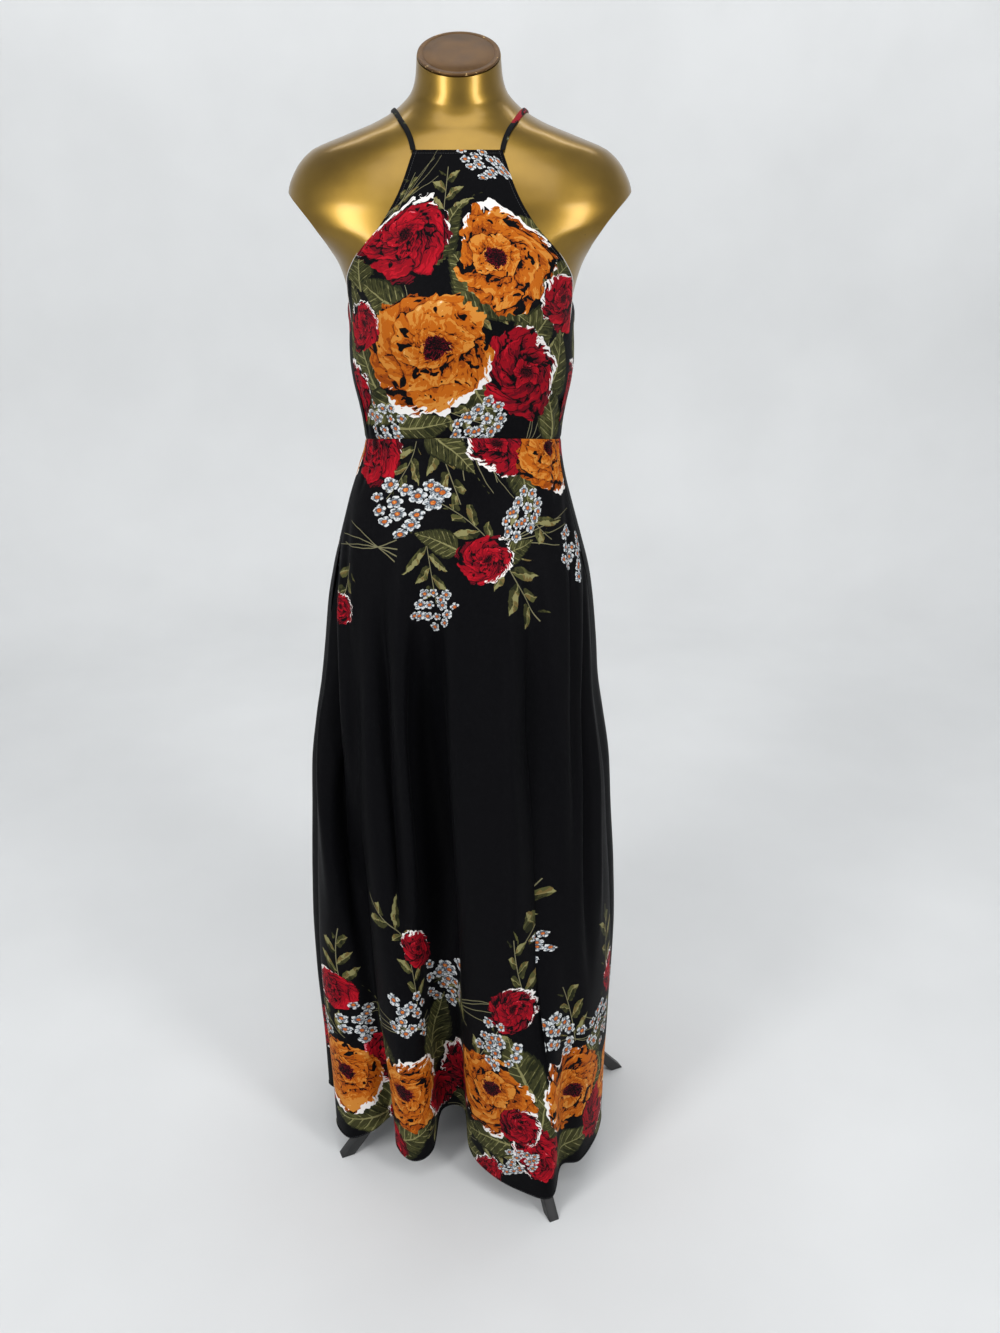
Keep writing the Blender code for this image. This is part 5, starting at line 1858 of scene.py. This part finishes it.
def make_strap(side, name, surface, look):
    """A narrow strap of folded cloth that lies on the body from the neckline down the back.

    Its route stops some 20 mm above the back panel, and from there cut_level leads it on. That last
    piece stands off the body and is turned over, as in the solids, where it is a fault too.
    """
    line = cut_level(strap_line(side, surface), NECKLINE_Z + SEAM_GAP)
    line = cut_level(line[::-1], float(eased(BACK_EDGE, STRAP_BACK_DEG)) + SEAM_GAP)[::-1]
    last = len(line) - 1
    angle = whole_turn(STRAP_COLUMNS)
    wide = np.sign(np.sin(angle)) * np.abs(np.sin(angle)) ** STRAP_SQUARENESS * STRAP_WIDTH / 2
    thick = np.cos(angle) * STRAP_THICKNESS / 2
    rings = []
    for i, (place, normal) in enumerate(line):
        ahead = line[min(i + 1, last)][0] - line[max(i - 1, 0)][0]
        across = ahead.cross(normal).normalized()
        near_end = min(i, last - i) / (last * STRAP_END_SHARE)
        lift = STRAP_CLEARANCE + STRAP_END_LIFT * max(0.0, 1.0 - near_end) + STRAP_THICKNESS / 2
        middle = place + normal * lift
        ring = [middle + across * a + normal * t for a, t in zip(wide, thick)]
        if i in (0, last):
            for corner in ring:
                corner.z = place.z
        rings.append(ring)
    strap = add_rings(name + "_cloth", np.array(rings), look, CORD_SHARP)
    point_out(strap.data)
    declare(strap, "crepe", name)
    return strap


# The studio


def make_stage(look):
    """A round floor of pale paper that curves up into a backdrop behind the form, open before it."""
    bend = np.linspace(0, math.pi / 2, STAGE_STEPS)
    wall = STAGE_FLOOR + STAGE_BEND
    radius = np.concatenate([STAGE_RINGS, STAGE_FLOOR + STAGE_BEND * np.sin(bend), (wall,)])
    height = np.concatenate([(0.0, 0.0), STAGE_BEND * (1 - np.cos(bend)), (STAGE_TOP,)])
    from_front = np.linspace(-math.pi, math.pi, STAGE_COLUMNS, endpoint=False)
    stands = smooth_step(STAGE_OPEN, STAGE_SHUT, np.abs(from_front))
    points = np.stack([
        radius[:, None] * np.sin(from_front),
        -radius[:, None] * np.cos(from_front),
        height[:, None] * stands,
    ], axis=-1).reshape(-1, 3)
    faces = grid_quads(len(radius), STAGE_COLUMNS, 0, closed=True).tolist()
    faces.append(list(range(STAGE_COLUMNS))[::-1])
    stage = add_mesh("studio_paper_sweep", points, faces, [look])
    point_out(stage.data)


def add_light(name, place, target, size, power):
    data = bpy.data.lights.new(name, "AREA")
    data.shape = "RECTANGLE"
    data.size, data.size_y = size
    data.energy = power
    obj = bpy.data.objects.new(name, data)
    obj.location = place
    obj.rotation_euler = (Vector(target) - Vector(place)).to_track_quat("-Z", "Y").to_euler()
    bpy.context.scene.collection.objects.link(obj)


def add_camera():
    camera = bpy.data.cameras.new("camera")
    camera.sensor_width = SENSOR
    camera.lens = SENSOR * FOCAL_PX / PHOTO_HEIGHT_PX
    obj = bpy.data.objects.new("camera", camera)
    obj.location = Vector(CAMERA_PLACE) + SHIFT
    obj.rotation_euler = (math.radians(90.0 - CAMERA_DOWN_DEG), 0.0, 0.0)
    bpy.context.scene.collection.objects.link(obj)
    bpy.context.scene.camera = obj


def make_studio():
    make_stage(paper_look())
    for light in LIGHTS:
        add_light(*light)
    world = bpy.data.worlds.new("studio")
    bpy.context.scene.world = world
    world.use_nodes = True
    background = world.node_tree.nodes["Background"]
    background.inputs["Color"].default_value = WORLD_TONE
    background.inputs["Strength"].default_value = WORLD_STRENGTH
    add_camera()
    bpy.context.scene.view_settings.view_transform = "Standard"


def main():
    make_torso(gold_look())
    make_cap(bronze_look())
    body = body_surface()
    strap = strap_look()
    straps = [make_strap(-1, "strap_left", body, strap), make_strap(1, "strap_right", body, strap)]
    thread = thread_look()
    make_bodice_front(thread)
    make_bodice_back(thread)
    make_skirt_panel("skirt_front", LEFT_SEAM_FOLD, RIGHT_SEAM_FOLD, 0.0, thread)
    make_skirt_panel("skirt_back", RIGHT_SEAM_FOLD, LEFT_SEAM_FOLD, 180.0, thread)
    black = black_look()
    make_pole(black)
    make_hub(black)
    for number in range(1, LEG_COUNT + 1):
        make_leg(number, black)
    make_studio()


main()
